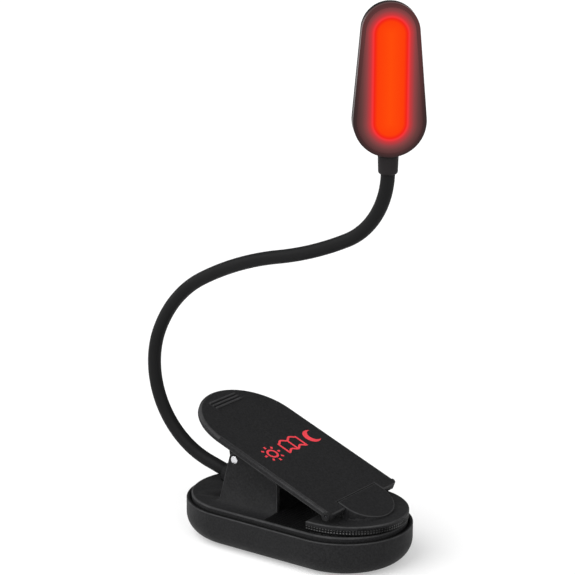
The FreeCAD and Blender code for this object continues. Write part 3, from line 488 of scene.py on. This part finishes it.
def to_mesh(name: str, builder: bmesh.types.BMesh,
            sharp_above: float | None = None) -> bpy.types.Mesh:
    """Turn a bmesh into a mesh.

    Args:
        name: the new mesh's name.
        builder: the bmesh, which is freed.
        sharp_above: the turn in degrees above which an edge of a smooth mesh stays sharp.

    Returns:
        The new mesh, smooth where a turn is given.
    """
    mesh = bpy.data.meshes.new(name)
    builder.to_mesh(mesh)
    builder.free()
    if sharp_above is not None:
        mesh.shade_smooth()
        mesh.set_sharp_from_angle(angle=math.radians(sharp_above))
    return mesh


def closed_piece(name: str, builder: bmesh.types.BMesh, sharp_above: float = SHARP_TURN) -> Piece:
    """Turn a bmesh of closed shells into an object with outward normals.

    Args:
        name: the new object's name.
        builder: the bmesh, which is freed.
        sharp_above: the turn in degrees above which an edge stays sharp.

    Returns:
        The new object.
    """
    bmesh.ops.recalc_face_normals(builder, faces=builder.faces)
    return link(name, to_mesh(name, builder, sharp_above))


def settled(piece: Piece) -> Piece:
    """Replace a piece's mesh by the result of its modifiers, and take the modifiers off.

    Args:
        piece: the piece to settle.

    Returns:
        The same piece.
    """
    graph = bpy.context.evaluated_depsgraph_get()
    mesh = bpy.data.meshes.new_from_object(piece.evaluated_get(graph), depsgraph=graph)
    piece.modifiers.clear()
    piece.data = mesh
    mesh.name = piece.name
    return piece


def mark_edges(builder: bmesh.types.BMesh) -> None:
    """Mark the faces of small rounded edges, which get a painted highlight.

    Args:
        builder: the bmesh whose faces get the EDGE_HIGHLIGHT value.
    """
    layer = builder.faces.layers.float.new(EDGE_HIGHLIGHT)
    for face in builder.faces:
        for edge in face.edges:
            if len(edge.link_faces) != 2 or edge.calc_length() == 0:
                continue
            turn = edge.calc_face_angle(0.0)
            width = 2 * face.calc_area() / edge.calc_length()
            if EDGE_TURN[0] < turn < EDGE_TURN[1] and width < EDGE_RADIUS * MM * turn:
                face[layer] = 1.0
                break


def refined_copy(frame: dict, node: str, name: str) -> Piece:
    """Copy a CAD node, merge its loose triangles and give it even, weighted normals.

    Args:
        node: the CAD node's name.
        name: the new piece's name.

    Returns:
        The new piece, which replaces the node.
    """
    builder = bmesh.new()
    builder.from_mesh(frame["nodes"][node].data)
    bmesh.ops.remove_doubles(builder, verts=builder.verts, dist=MERGE_REACH)
    bmesh.ops.dissolve_degenerate(builder, edges=builder.edges, dist=MERGE_REACH)
    mark_edges(builder)
    piece = link(name, to_mesh(name, builder, SHARP_TURN))
    weights = piece.modifiers.new("even_normals", "WEIGHTED_NORMAL")
    weights.keep_sharp = True
    weights.weight = NORMAL_WEIGHT
    settled(piece)
    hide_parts(node)
    return piece


def wear(piece: Piece, material: Material) -> None:
    """Put a material in all of a piece's slots.

    Args:
        piece: the piece to dress.
        material: its finish.
    """
    if not piece.material_slots:
        piece.data.materials.append(material)
    for held in piece.material_slots:
        held.material = material


def dress(piece: Piece, material: Material, body: str) -> None:
    """Give a piece its material and body.

    Args:
        piece: the finished piece.
        material: its finish.
        body: the body that it rides on.
    """
    wear(piece, material)
    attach(piece, body)
    LOG.info("%s rides on %s", piece.name, body)


def tube(builder: bmesh.types.BMesh, stations: Sequence[tuple[Vector, Vector, Vector]],
         radius: float, sides: int) -> None:
    """Add a closed round tube along a path.

    Args:
        builder: the bmesh to add to.
        stations: each ring's centre and its two cross directions, in metres.
        radius: the tube's radius in metres.
        sides: how many faces go round it.
    """
    rings = []
    for centre, across, over in stations:
        ring = []
        for index in range(sides):
            turn = 2 * math.pi * index / sides
            ring.append(builder.verts.new(centre + across * (radius * math.cos(turn))
                                          + over * (radius * math.sin(turn))))
        rings.append(ring)
    for low, high in zip(rings[:-1], rings[1:]):
        for index in range(sides):
            following = (index + 1) % sides
            builder.faces.new((low[index], low[following], high[following], high[index]))
    builder.faces.new(list(reversed(rings[0])))
    builder.faces.new(rings[-1])


def band(builder: bmesh.types.BMesh, left: Sequence[Vector], right: Sequence[Vector],
         thickness: Vector, closed: bool) -> None:
    """Add a flat band of some thickness between two lines of points.

    Args:
        builder: the bmesh to add to.
        left, right: the lower face's two sides, point for point.
        thickness: from the lower face to the upper one.
        closed: whether the band's ends join.
    """
    low_left, low_right, high_left, high_right = (
        [builder.verts.new(point + lift) for point in line]
        for lift in (Vector((0.0, 0.0, 0.0)), thickness) for line in (left, right))
    count = len(left)
    sides = ((low_left, low_right), (high_right, high_left),
             (low_right, high_right), (high_left, low_left))
    for index in range(count if closed else count - 1):
        following = (index + 1) % count
        for first, second in sides:
            builder.faces.new((first[index], first[following], second[following], second[index]))
    if not closed:
        for end in (0, -1):
            builder.faces.new((low_left[end], low_right[end], high_right[end], high_left[end]))


def round_fronted(back: float, centre: float, reach: float, half: float, z: float,
                  steps: int) -> list[Vector]:
    """List the points of a flat outline with a straight back and a round front, all in metres.

    Args:
        back: the back edge's x.
        centre: the x where the round front begins.
        reach: how far the front goes beyond it.
        half: half the outline's width.
        z: its height.
        steps: the number of steps round the front.

    Returns:
        The points from one back corner to the other.
    """
    points = [Vector((back, -half, z)), Vector((centre, -half, z))]
    for index in range(1, steps):
        turn = -math.pi / 2 + math.pi * index / steps
        points.append(Vector((centre + reach * math.cos(turn), half * math.sin(turn), z)))
    return points + [Vector((centre, half, z)), Vector((back, half, z))]


# ---------------------------------------------------------------- repeated studs


class StudTree:
    """A Geometry Nodes tree that sets small studs on points, and is turned to a plain mesh."""

    def __init__(self, name: str, sizes: dict[str, float]) -> None:
        """Make the tree with one named input for each size.

        Args:
            name: the tree's name.
            sizes: the inputs' names and their values, in metres or as counts.
        """
        self.tree = bpy.data.node_groups.new(name, "GeometryNodeTree")
        self.sizes = sizes
        self.sockets: dict[str, str] = {}
        interface = self.tree.interface
        interface.new_socket("Geometry", in_out="INPUT", socket_type="NodeSocketGeometry")
        for label, value in sizes.items():
            kind = "NodeSocketInt" if isinstance(value, int) else "NodeSocketFloat"
            socket = interface.new_socket(label, in_out="INPUT", socket_type=kind)
            self.sockets[label] = socket.identifier
        interface.new_socket("Geometry", in_out="OUTPUT", socket_type="NodeSocketGeometry")
        self.inputs = self.tree.nodes.new("NodeGroupInput").outputs
        self.output = self.tree.nodes.new("NodeGroupOutput").inputs[0]

    def add(self, kind: str, links: dict[str, object] | None = None,
            **settings: object) -> bpy.types.Node:
        """Add a node.

        Args:
            kind: the node's type.
            links: input names with the sockets or the values that they take.
            settings: the node's own options.

        Returns:
            The new node.
        """
        node = self.tree.nodes.new(kind)
        for name, value in settings.items():
            setattr(node, name, value)
        for name, value in (links or {}).items():
            socket = next(s for s in node.inputs if s.name == name and s.enabled)
            if isinstance(value, Socket):
                self.tree.links.new(value, socket)
            else:
                socket.default_value = value
        return node

    def vector(self, operation: str, first: Socket, second: Sequence[float]) -> Socket:
        """Add a Vector Math node.

        Args:
            operation: the node's operation.
            first: the first vector's socket.
            second: the second vector.

        Returns:
            The result's socket.
        """
        node = self.add("ShaderNodeVectorMath", operation=operation)
        self.tree.links.new(first, node.inputs[0])
        node.inputs[1].default_value = second
        return node.outputs[0]

    def finish(self, points: Socket, material: Material, **placing: Socket) -> None:
        """Set a stud on each point, and end the tree with realised instances in one material.

        Args:
            points: the points' socket.
            material: the studs' finish.
            placing: further sockets for the placing, such as a rotation or a selection.
        """
        stud = self.add("GeometryNodeMeshCone", {
            "Vertices": STUD_SIDES, "Radius Top": self.inputs["Stud top"],
            "Radius Bottom": self.inputs["Stud radius"], "Depth": self.inputs["Stud depth"]})
        placed = self.add("GeometryNodeInstanceOnPoints", {
            "Points": points, "Instance": stud.outputs["Mesh"], **placing})
        real = self.add("GeometryNodeRealizeInstances", {"Geometry": placed.outputs[0]})
        dressed = self.add("GeometryNodeSetMaterial", {
            "Geometry": real.outputs[0], "Material": material})
        self.tree.links.new(dressed.outputs[0], self.output)

    def run(self, piece: Piece) -> Piece:
        """Run the tree on a piece's mesh and keep the result as its plain mesh.

        Args:
            piece: the piece with the tree's starting mesh.

        Returns:
            The same piece.
        """
        modifier = piece.modifiers.new(self.tree.name, "NODES")
        modifier.node_group = self.tree
        for label, identifier in self.sockets.items():
            modifier[identifier] = self.sizes[label]
        return settled(piece)


# ---------------------------------------------------------------- neck


@dataclass
class Neck:
    """The neck's silicone sleeve: one smooth skin, in stretches that each take in one joint."""

    diameter: float = 4.3
    mouth_x: float = -28.2
    mouth_rise: float = 4.3
    pad_sunk: float = 0.55
    root_heading: float = 165.0
    socket_depth: float = 7.5
    straight: float = 7.6
    radii: tuple[float, ...] = (30.2, 41.5, 112.6, 121.9, 25.9)
    headings: tuple[float, ...] = (67.2, 30.0, 13.6, 26.6, 90.0)
    first_joint: float = 18.0
    joint_pitch: float = 25.0
    joints: int = 7
    tip_run: float = 3.0
    ring_step: float = 0.7
    sides: int = 40
    bend_reach: float = 9.0
    sharp_above: float = 50.0

    @cached_property
    def origin(self) -> tuple[float, float]:
        """Find the neck's deep end in its socket, which is set out from the cover's top.

        Returns:
            Its x and z in millimetres.
        """
        cover_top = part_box("base_pad")[0].z / MM + self.pad_sunk
        heading = math.radians(self.root_heading)
        return (self.mouth_x - self.socket_depth * math.cos(heading),
                cover_top + self.mouth_rise - self.socket_depth * math.sin(heading))

    def locate(self, distance: float) -> tuple[Vector, Vector]:
        """Find a point of the centreline.

        Args:
            distance: how far it is from the deep end, in millimetres.

        Returns:
            The point in metres, and the direction there.
        """
        x, z = self.origin
        heading = self.root_heading
        step = min(distance, self.socket_depth + self.straight)
        x += step * math.cos(math.radians(heading))
        z += step * math.sin(math.radians(heading))
        distance -= step
        for radius, target in zip(self.radii, self.headings):
            if distance <= 0:
                break
            sense = 1 if target > heading else -1
            step = min(distance, radius * math.radians(abs(target - heading)))
            turned = heading + sense * math.degrees(step / radius)
            start, end = math.radians(heading), math.radians(turned)
            x += sense * radius * (math.sin(end) - math.sin(start))
            z += sense * radius * (math.cos(start) - math.cos(end))
            heading = turned
            distance -= step
        x += distance * math.cos(math.radians(heading))
        z += distance * math.sin(math.radians(heading))
        angle = math.radians(heading)
        return Vector((x * MM, 0.0, z * MM)), Vector((math.cos(angle), 0.0, math.sin(angle)))

    def length(self) -> float:
        """Add up the centreline's length.

        Returns:
            The length in millimetres.
        """
        total = self.socket_depth + self.straight
        heading = self.root_heading
        for radius, target in zip(self.radii, self.headings):
            total += radius * math.radians(abs(target - heading))
            heading = target
        return total

    def stretch(self, start: float, end: float, name: str) -> Piece:
        """Make the skin between two distances.

        Args:
            start, end: the distances in millimetres.
            name: the new piece's name.

        Returns:
            The new piece.
        """
        count = max(2, round((end - start) / self.ring_step))
        stations = []
        for index in range(count + 1):
            point, direction = self.locate(start + (end - start) * index / count)
            stations.append((point, ASIDE, direction.cross(ASIDE)))
        builder = bmesh.new()
        tube(builder, stations, self.diameter / 2 * MM, self.sides)
        return closed_piece(name, builder, self.sharp_above)

    def build(self, material: Material) -> None:
        """Make all stretches, each taking in one joint.

        Args:
            material: the sleeve's finish.
        """
        names = ["root"] + [str(index) for index in range(1, self.joints)] + ["tip"]
        cuts = [0.0]
        cuts += [self.first_joint + self.joint_pitch * (index + 0.5)
                 for index in range(self.joints - 1)]
        cuts.append(self.length() + self.tip_run)
        for index in range(self.joints):
            piece = self.stretch(cuts[index], cuts[index + 1], f"neck_skin_{index + 1}")
            wear(piece, material)
            covered = [names[index]] + (["tip"] if index == self.joints - 1 else [])
            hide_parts(*[f"neck_sleeve_{name}" for name in covered])
            joint = self.first_joint + self.joint_pitch * index
            tuple(self.locate(joint - self.bend_reach)[0])
            tuple(self.locate(joint + self.bend_reach)[0])
            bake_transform(piece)


# ---------------------------------------------------------------- the lever's plane and its signs


def lever_pin(frame: dict) -> Vector:
    """Find the middle of the lever's hinge.


    Returns:
        The point in metres.
    """
    hinge = next(joint for joint in frame["joints"] if joint["name"] == "lever_open")
    return Vector(hinge["pos_m"])


@dataclass(frozen=True)
class LeverPlane:
    """The lever's top face: x runs forward along it from its front edge, z out of it."""

    pitch: float = 21.0
    pin_to_front: float = 41.7
    pin_to_top: float = 8.72

    def place(self, frame: dict) -> Matrix:
        """Work out the plane's place from the lever's hinge.


        Returns:
            The matrix from the plane's metres to the frame's.
        """
        offset = Matrix.Translation((self.pin_to_front * MM, 0.0, self.pin_to_top * MM))
        turned = Matrix.Rotation(math.radians(self.pitch), 4, "Y")
        return Matrix.Translation(lever_pin(frame)) @ turned @ offset


@dataclass
class PrintedSigns:
    """Three plain signs printed across the lever: a sun, an open book and a moon."""

    plane: LeverPlane = LeverPlane()
    setback: float = 30.9
    sun_place: float = -9.0
    book_place: float = 1.6
    moon_place: float = 11.9
    stroke: float = 0.74
    ring: float = 1.7
    rays: int = 8
    ray_start: float = 2.75
    ray_end: float = 3.75
    page: tuple[float, float] = (4.5, 4.7)
    page_swell: float = 1.0
    moon_reach: float = 3.1
    moon_tip: float = 52.0
    moon_overlap: float = 0.45
    film: float = 0.03
    sunk: float = 0.01
    steps: int = 28

    def arc(self, radius: float, start: float, end: float, middle: float = 0.0) -> list[Vector]:
        """List points on an arc.

        Args:
            radius: the arc's radius in millimetres.
            start, end: its angles in degrees.
            middle: its centre's place along the sign.

        Returns:
            The points, x to the right and y up the sign.
        """
        points = []
        for index in range(self.steps + 1):
            turn = math.radians(start + (end - start) * index / self.steps)
            points.append(Vector((middle + radius * math.cos(turn), radius * math.sin(turn))))
        return points

    def widened(self, points: Sequence[Vector], closed: bool) -> Band:
        """Give a line the stroke's width.

        Args:
            points: the line's points.
            closed: whether the last point joins the first.

        Returns:
            The points on its left, those on its right, and whether it is closed.
        """
        left, right = [], []
        last = len(points) - 1
        for index, point in enumerate(points):
            runs = []
            if closed or index > 0:
                runs.append((point - points[index - 1]).normalized())
            if closed or index < last:
                runs.append((points[(index + 1) % len(points)] - point).normalized())
            along = (runs[0] + runs[-1]).normalized()
            side = Vector((-along.y, along.x)) * (self.stroke / 2 / along.dot(runs[0]))
            left.append(point + side)
            right.append(point - side)
        return left, right, closed

    def sun(self) -> list[Band]:
        """Draw a ring with its rays.

        Returns:
            The sign's bands.
        """
        bands = [self.widened(self.arc(self.ring, 0, 360)[:-1], True)]
        for index in range(self.rays):
            turn = 2 * math.pi * index / self.rays
            ray = Vector((math.cos(turn), math.sin(turn)))
            bands.append(self.widened([ray * self.ray_start, ray * self.ray_end], False))
        return bands

    def book(self) -> list[Band]:
        """Draw an open book: the outline of its two curved pages, and its spine.

        Returns:
            The sign's bands.
        """
        width, height = self.page
        top = []
        for index in range(-self.steps, self.steps + 1):
            share = index / self.steps
            swell = self.page_swell * (1 - math.cos(2 * math.pi * share)) / 2
            top.append(Vector((width * share, height / 2 + swell)))
        low = [point - Vector((0, height)) for point in reversed(top)]
        rest = (height - self.stroke) / 2
        spine = [Vector((0, -rest)), Vector((0, rest))]
        return [self.widened(top + low, True), self.widened(spine, False)]

    def moon(self) -> list[Band]:
        """Draw a solid crescent.

        Returns:
            The sign's one band.
        """
        span = self.moon_reach * math.sin(math.radians(self.moon_tip))
        middle = self.moon_reach * math.cos(math.radians(self.moon_tip)) - self.moon_overlap
        bend = math.degrees(math.atan2(span, -self.moon_overlap))
        outer = self.arc(self.moon_reach, self.moon_tip, 360 - self.moon_tip)
        inner = self.arc(math.hypot(span, self.moon_overlap), 180 - bend, 180 + bend, middle)
        return [(outer, inner, False)]

    def build(self, frame: dict, material: Material) -> None:
        """Make the three signs as one piece of thin paint.

        Args:
            material: the paint.
        """
        place = self.plane.place(frame)
        thickness = (place.to_3x3() @ UP) * ((self.film + self.sunk) * MM)
        builder = bmesh.new()
        for shift, bands in ((self.sun_place, self.sun()), (self.book_place, self.book()),
                             (self.moon_place, self.moon())):
            for *lines, closed in bands:
                left, right = (
                    [place @ (Vector((-self.setback - p.y, p.x + shift, -self.sunk)) * MM)
                     for p in line] for line in lines)
                band(builder, left, right, thickness, closed)
        dress(closed_piece("lever_signs", builder), material, "lever")


# ---------------------------------------------------------------- textured pads


@dataclass
class JawPad:
    """The rubber pad under the jaw, with a diamond knurl round its edge."""

    bend: float = 17.9
    rows: int = 2
    pitch: float = 0.95
    depth: float = 0.26
    stud_share: float = 0.52
    arc_steps: int = 60

    def build(self, frame: dict, material: Material, burnished: Material) -> None:
        """Make the pad's smooth body and its knurl.

        Args:
            material: the rubber.
            burnished: the knurl's finish.
        """
        dress(refined_copy(frame, "jaw_pad", "jaw_pad_body"), material, "jaw")
        low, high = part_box("jaw_pad")
        row_height = (high.z - low.z) / self.rows
        bend = self.bend * MM
        vertices, edges = [], []
        for row in range(self.rows):
            middle = low.z + row_height * (row + 0.5)
            points = round_fronted(low.x, bend, high.x - bend, high.y, middle, self.arc_steps)
            start = len(vertices)
            vertices += points
            edges += [(start + index, start + index + 1) for index in range(len(points) - 1)]
        mesh = bpy.data.meshes.new("jaw_pad_knurl")
        mesh.from_pydata(vertices, edges, [])
        piece = link("jaw_pad_knurl", mesh)
        tree = StudTree("knurl_round_edge", {
            "Pitch": self.pitch * MM, "Stud radius": row_height * self.stud_share, "Stud top": 0.0,
            "Stud depth": self.depth * MM})
        curve = tree.add("GeometryNodeMeshToCurve", {"Mesh": tree.inputs["Geometry"]})
        spaced = tree.add("GeometryNodeResampleCurve", {
            "Curve": curve.outputs[0], "Length": tree.inputs["Pitch"]}, mode="LENGTH")
        tangent = tree.add("GeometryNodeInputTangent")
        away = tree.vector("CROSS_PRODUCT", tangent.outputs[0], UP)
        turn = tree.add("FunctionNodeAlignRotationToVector", {"Vector": away}, axis="Z")
        tree.finish(spaced.outputs[0], burnished, Rotation=turn.outputs[0])
        dress(tree.run(piece), burnished, "jaw")


@dataclass
class BasePad:
    """The rubber pad on the base, covered in small diamond studs."""

    pitch: float = 1.15
    margin: float = 0.9
    depth: float = 0.11
    stud_share: float = 0.56
    stud_top: float = 0.12
    probe: float = 1.0
    arc_steps: int = 48

    def build(self, frame: dict, material: Material) -> None:
        """Make the pad's body and the studs on its top.

        Args:
            material: the rubber.
        """
        dress(refined_copy(frame, "base_pad", "base_pad_body"), material, "base")
        low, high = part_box("base_pad")
        radius = high.y - self.margin * MM
        centre = high.x - high.y
        start = low.x + self.margin * MM
        corners = round_fronted(start, centre, radius, radius, high.z, self.arc_steps)
        mesh = bpy.data.meshes.new("base_pad_studs")
        mesh.from_pydata(corners, [], [list(range(len(corners)))])
        piece = link("base_pad_studs", mesh)
        across = int(2 * radius / (self.pitch * MM)) + 1
        along = int((centre + radius - start) / (self.pitch * MM)) + 1
        width, length = (across - 1) * self.pitch * MM, (along - 1) * self.pitch * MM
        tree = StudTree("studs_on_pad", {
            "Length": length, "Width": width, "Rows": along, "Columns": across,
            "Stud radius": self.pitch * self.stud_share * MM, "Stud top": self.stud_top * MM,
            "Stud depth": self.depth * MM})
        grid = tree.add("GeometryNodeMeshGrid", {
            "Size X": tree.inputs["Length"], "Size Y": tree.inputs["Width"],
            "Vertices X": tree.inputs["Rows"], "Vertices Y": tree.inputs["Columns"]})
        moved = tree.add("GeometryNodeTransform", {
            "Geometry": grid.outputs["Mesh"], "Translation": (start + length / 2, 0.0, high.z)})
        where = tree.add("GeometryNodeInputPosition")
        above = tree.vector("ADD", where.outputs[0], UP * (self.probe * MM))
        ray = tree.add("GeometryNodeRaycast", {
            "Target Geometry": tree.inputs["Geometry"], "Source Position": above,
            "Ray Direction": -UP, "Ray Length": 2 * self.probe * MM})
        tree.finish(moved.outputs[0], material, Selection=ray.outputs["Is Hit"])
        dress(tree.run(piece), material, "base")


# ---------------------------------------------------------------- base, clip and head


@dataclass
class Base:
    """The base's shells, screws, port, button and pin: each node, its new name and its body."""

    plastic_nodes: tuple[tuple[str, str, str], ...] = (
        ("base_tray", "tray_shell", "base"), ("base_cover", "cover_shell", "base"),
        ("power_button", "button_cap", "button"))
    steel_nodes: tuple[tuple[str, str, str], ...] = (
        ("hinge_pin", "hinge_pin_polished", "base"), ("usb_port", "port_shell", "base"),
        ("case_screws", "underside_screws", "base"))

    def build(self, frame: dict, plastic: Material, steel: Material) -> None:
        """Refine and dress the base's visible pieces.

        Args:
            plastic: the shells' finish.
            steel: the metal pieces' finish.
        """
        for nodes, material, slot in ((self.plastic_nodes, plastic, Slot.CASING),
                                      (self.steel_nodes, steel, Slot.STEEL)):
            for node, name, body in nodes:
                dress(refined_copy(frame, node, name), material, body)


@dataclass
class Clip:
    """The lever, the jaw, the jaw's pin and the torsion spring."""

    spring_half: float = 4.0

    def build(self, frame: dict, plastic: Material, steel: Material, dark_steel: Material) -> None:
        """Refine and dress the clip's pieces.

        Args:
            plastic: the lever's and the jaw's finish.
            steel: the spring's finish.
            dark_steel: the jaw pin's finish.
        """
        for node, name, material, body, slot in (
                ("clip_lever", "lever_plate", plastic, "lever", Slot.CASING),
                ("jaw_holder", "jaw_plate", plastic, "jaw", Slot.CASING),
                ("jaw_pin", "jaw_pin_blackened", dark_steel, "lever", Slot.STEEL)):
            dress(refined_copy(frame, node, name), material, body)
        spring = refined_copy(frame, "torsion_spring", "spring_coil")
        wear(spring, steel)
        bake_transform(spring)
        LOG.info("%s winds between base and lever", spring.name)


@dataclass
class Head:
    """The light head: its shells, its collar and the lit lens.

    The glow's stops are distances from the light's middle line, each with its display colour.
    """

    yaw: float = 39.3
    light_width: float = 11.1
    light_length: float = 37.2
    light_lift: float = 0.7
    smoke: Colour = (0.0010, 0.0008, 0.0008)
    lens_glow: Stops = (
        (0.0, (255, 74, 0)), (3.8, (253, 60, 0)), (4.7, (244, 32, 16)), (5.2, (246, 54, 56)),
        (5.8, (200, 56, 60)), (7.0, (142, 66, 68)), (8.2, (104, 61, 60)), (9.2, (84, 52, 52)),
        (10.3, (72, 46, 46)))
    rim_glow: Stops = (
        (0.0, (98, 54, 54)), (8.0, (96, 54, 54)), (9.0, (82, 49, 49)), (9.8, (64, 42, 42)),
        (10.4, (54, 40, 40)), (11.8, (50, 39, 39)))

    def light_centre(self) -> Vector:
        """Find the middle of the light, on the neck's axis.

        Returns:
            The point in metres.
        """
        low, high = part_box("head_collar")
        bottom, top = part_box("head_diffuser")
        middle = (bottom.z + top.z) / 2 + self.light_lift * MM
        return Vector(((low.x + high.x) / 2, (low.y + high.y) / 2, middle))

    def smoked(self, name: str, glow: Stops) -> Material:
        """Make a smoked finish that the light shines through.

        Args:
            name: the material's name.
            glow: the glow's stops.

        Returns:
            The new material.
        """
        stops = tuple((distance, srgb(*colour)) for distance, colour in glow)
        return LitStrip(name, self.smoke, roughness=0.3, specular=0.03, grain_depth=0.0015,
                        scuff=0.03, centre=tuple(self.light_centre()), yaw=math.radians(self.yaw),
                        straight_half=(self.light_length - self.light_width) / 2,
                        stops=stops).build()

    def build(self, frame: dict, back: Material, rubber: Material) -> None:
        """Refine and dress the head's visible pieces.

        Args:
            back: the rear shell's finish.
            rubber: the collar's finish.
        """
        rim = self.smoked("smoked_rim", self.rim_glow)
        lens = self.smoked("smoked_lens_lit", self.lens_glow)
        for node, name, material, slot in (
                ("head_rear_shell", "head_back", back, Slot.CASING),
                ("head_bezel", "head_rim", rim, Slot.CASING),
                ("head_collar", "collar_smooth", rubber, Slot.NECK),
                ("head_lens", "lens_smooth", lens, Slot.LENS)):
            dress(refined_copy(frame, node, name), material, "head")


@dataclass
class Inside:
    """Finishes for the nodes that stay as they were modelled, most of them inside.

    Each finish has the starts of the names of the nodes that wear it.
    """

    finishes: tuple[tuple[Finish, tuple[str, ...]], ...] = (
        (Finish("foil_wrap", srgb(176, 178, 182), 0.35, metallic=0.6, grain=0.8),
         ("battery_cell",)),
        (Finish("foam_tape", srgb(214, 212, 204), 0.9, grain=0.3, grain_depth=0.05),
         ("battery_tape",)),
        (PrintedBoard("solder_mask", srgb(18, 84, 44), 0.35), ("circuit_board", "led_board")),
        (Finish("moulded_package", srgb(30, 30, 32), 0.55), ("board_parts", "tact_switch")),
        (ClearPlastic("light_pipe", srgb(232, 232, 232), 0.15, mottle=0.02), ("charge_indicator",)),
        (Finish("grey_nylon", srgb(110, 110, 112), 0.5), ("switch_plunger",)),
        (Finish("lead_cover", srgb(170, 30, 28), 0.4),
         ("battery_leads", "neck_leads", "head_leads", "neck_lead_pair")),
        (BrushedMetal("plain_brass", srgb(196, 160, 92), 0.35), ("neck_ferrule",)),
        (BrushedMetal("drawn_steel", srgb(170, 170, 172), 0.35), ("board_screws", "neck_wire")),
        (Finish("white_moulding", srgb(228, 228, 226), 0.5), ("head_reflector",)),
        (Finish("light_diffuser", srgb(240, 120, 60), 0.6), ("head_diffuser",)),
        (Finish("phosphor", srgb(235, 205, 120), 0.5), ("leds",)))

    def build(self, frame: dict) -> None:
        """Dress every CAD node that still shows.
        """
        for finish, starts in self.finishes:
            material = finish.build()
            for node, shown in frame["nodes"].items():
                if node.startswith(starts):
                    wear(shown, material)
                    LOG.info("%s is dressed as %s", node, finish.name)


# ---------------------------------------------------------------- studio


@dataclass(frozen=True)
class Sun:
    """A wide, soft light: its name, where it comes from, its power and its width in degrees."""

    name: str
    comes_from: tuple[float, float, float]
    power: float
    width: float

    def build(self) -> None:
        """Add the light to the scene."""
        data = bpy.data.lights.new(self.name, "SUN")
        data.energy = self.power
        data.angle = math.radians(self.width)
        lamp = bpy.data.objects.new(self.name, data)
        lamp.rotation_euler = Vector(self.comes_from).to_track_quat("Z", "Y").to_euler()
        bpy.context.scene.collection.objects.link(lamp)


@dataclass
class Studio:
    """A pale floor and surround, soft lights and the camera, whose clip distances are in metres."""

    camera_place: tuple[float, float, float] = (432.63, -600.36, 294.96)
    azimuth: float = 36.05
    pitch: float = 15.91
    roll: float = 0.25
    lens: float = 156.52
    sensor: float = 36.0
    shift: tuple[float, float] = (-0.0012, -0.0010)
    clip: tuple[float, float] = (0.01, 200.0)
    surround: float = 0.28
    floor_half: float = 40000.0
    floor_gap: float = 0.1
    floor_glow: float = 0.38
    floor_tones: tuple[float, float] = (0.59, 0.61)
    floor_patch: float = 400.0
    suns: tuple[Sun, ...] = (Sun("broad_light", (-0.25, -0.62, 0.75), 2.8, 60.0),
                             Sun("side_light", (0.75, -0.35, 0.6), 1.3, 60.0),
                             Sun("left_light", (-0.95, -0.3, 0.35), 0.6, 40.0))

    def camera(self) -> None:
        """Place the camera, looking down at the lamp."""
        data = bpy.data.cameras.new("camera")
        data.sensor_width = self.sensor
        data.lens = self.lens
        data.shift_x, data.shift_y = self.shift
        data.clip_start, data.clip_end = self.clip
        seen = bpy.data.objects.new("camera", data)
        turned = (Matrix.Rotation(math.radians(self.azimuth), 3, "Z")
                  @ Matrix.Rotation(math.radians(90 - self.pitch), 3, "X")
                  @ Matrix.Rotation(math.radians(self.roll), 3, "Z"))
        seen.location = Vector(self.camera_place) * MM
        seen.rotation_euler = turned.to_euler()
        bpy.context.scene.collection.objects.link(seen)
        bpy.context.scene.camera = seen

    def floor(self) -> None:
        """Lay the floor just under the lamp."""
        builder = bmesh.new()
        bmesh.ops.create_grid(builder, x_segments=1, y_segments=1, size=self.floor_half * MM)
        shown = link("floor", to_mesh("floor", builder))
        shown.location.z = -self.floor_gap * MM
        tree = ShaderTree("pale_floor")
        tree.set(Roughness=0.9, Specular_IOR_Level=0.1, Emission_Color=WHITE,
                 Emission_Strength=self.floor_glow)
        darker, lighter = ((tone, tone, tone) for tone in self.floor_tones)
        tree.join(tree.blend(tree.noise(self.floor_patch), darker, lighter), "Base Color")
        wear(shown, tree.material)

    def build(self) -> None:
        """Make the whole studio."""
        scene = bpy.context.scene
        scene.view_settings.view_transform = "Standard"
        scene.world = bpy.data.worlds.new("studio")
        scene.world.use_nodes = True
        background = scene.world.node_tree.nodes["Background"]
        background.inputs["Color"].default_value = WHITE
        background.inputs["Strength"].default_value = self.surround
        self.camera()
        self.floor()
        for sun in self.suns:
            sun.build()


def main() -> None:
    """Build the lamp round the frame."""
    logging.basicConfig(level=logging.INFO, format="%(message)s")
    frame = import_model()
    Studio().build()
    plastic = SatinPlastic("satin_black_plastic", (0.0098, 0.0098, 0.0102), roughness=0.54,
                           specular=0.07).build()
    # The head shell's painted edge highlight stays close to its own colour.
    shell = SatinPlastic("head_shell_black", (0.0085, 0.0080, 0.0080), roughness=0.5, specular=0.02,
                         worn=(0.010, 0.009, 0.009)).build()
    rubber = Finish("pad_rubber_black", (0.0028, 0.0028, 0.0030), roughness=0.5, specular=0.07,
                    grain=0.25, grain_depth=0.02).build()
    burnished = Finish("rubber_knurl", (0.0035, 0.0035, 0.0037), roughness=0.3, specular=0.5,
                       grain=0.25, grain_depth=0.01).build()
    silicone = Finish("neck_silicone_black", (0.0085, 0.0085, 0.0088), roughness=0.55,
                      specular=0.08, grain=0.3, grain_depth=0.004).build()
    collar = Finish("collar_rubber_black", (0.0165, 0.0145, 0.0150), roughness=0.55, specular=0.08,
                    grain_depth=0.006).build()
    steel = BrushedMetal("bright_steel", srgb(215, 215, 218), roughness=0.22).build()
    dark_steel = BrushedMetal("blackened_steel", srgb(46, 46, 48), roughness=0.42).build()
    paint = Finish("coral_paint", srgb(216, 62, 72), roughness=0.5, specular=0.15,
                   grain_depth=0.004).build()
    Base().build(frame, plastic, steel)
    BasePad().build(frame, rubber)
    Clip().build(frame, plastic, steel, dark_steel)
    JawPad().build(frame, rubber, burnished)
    PrintedSigns().build(frame, paint)
    Neck().build(silicone)
    Head().build(frame, shell, collar)
    Inside().build(frame)


if __name__ == "__main__":
    main()
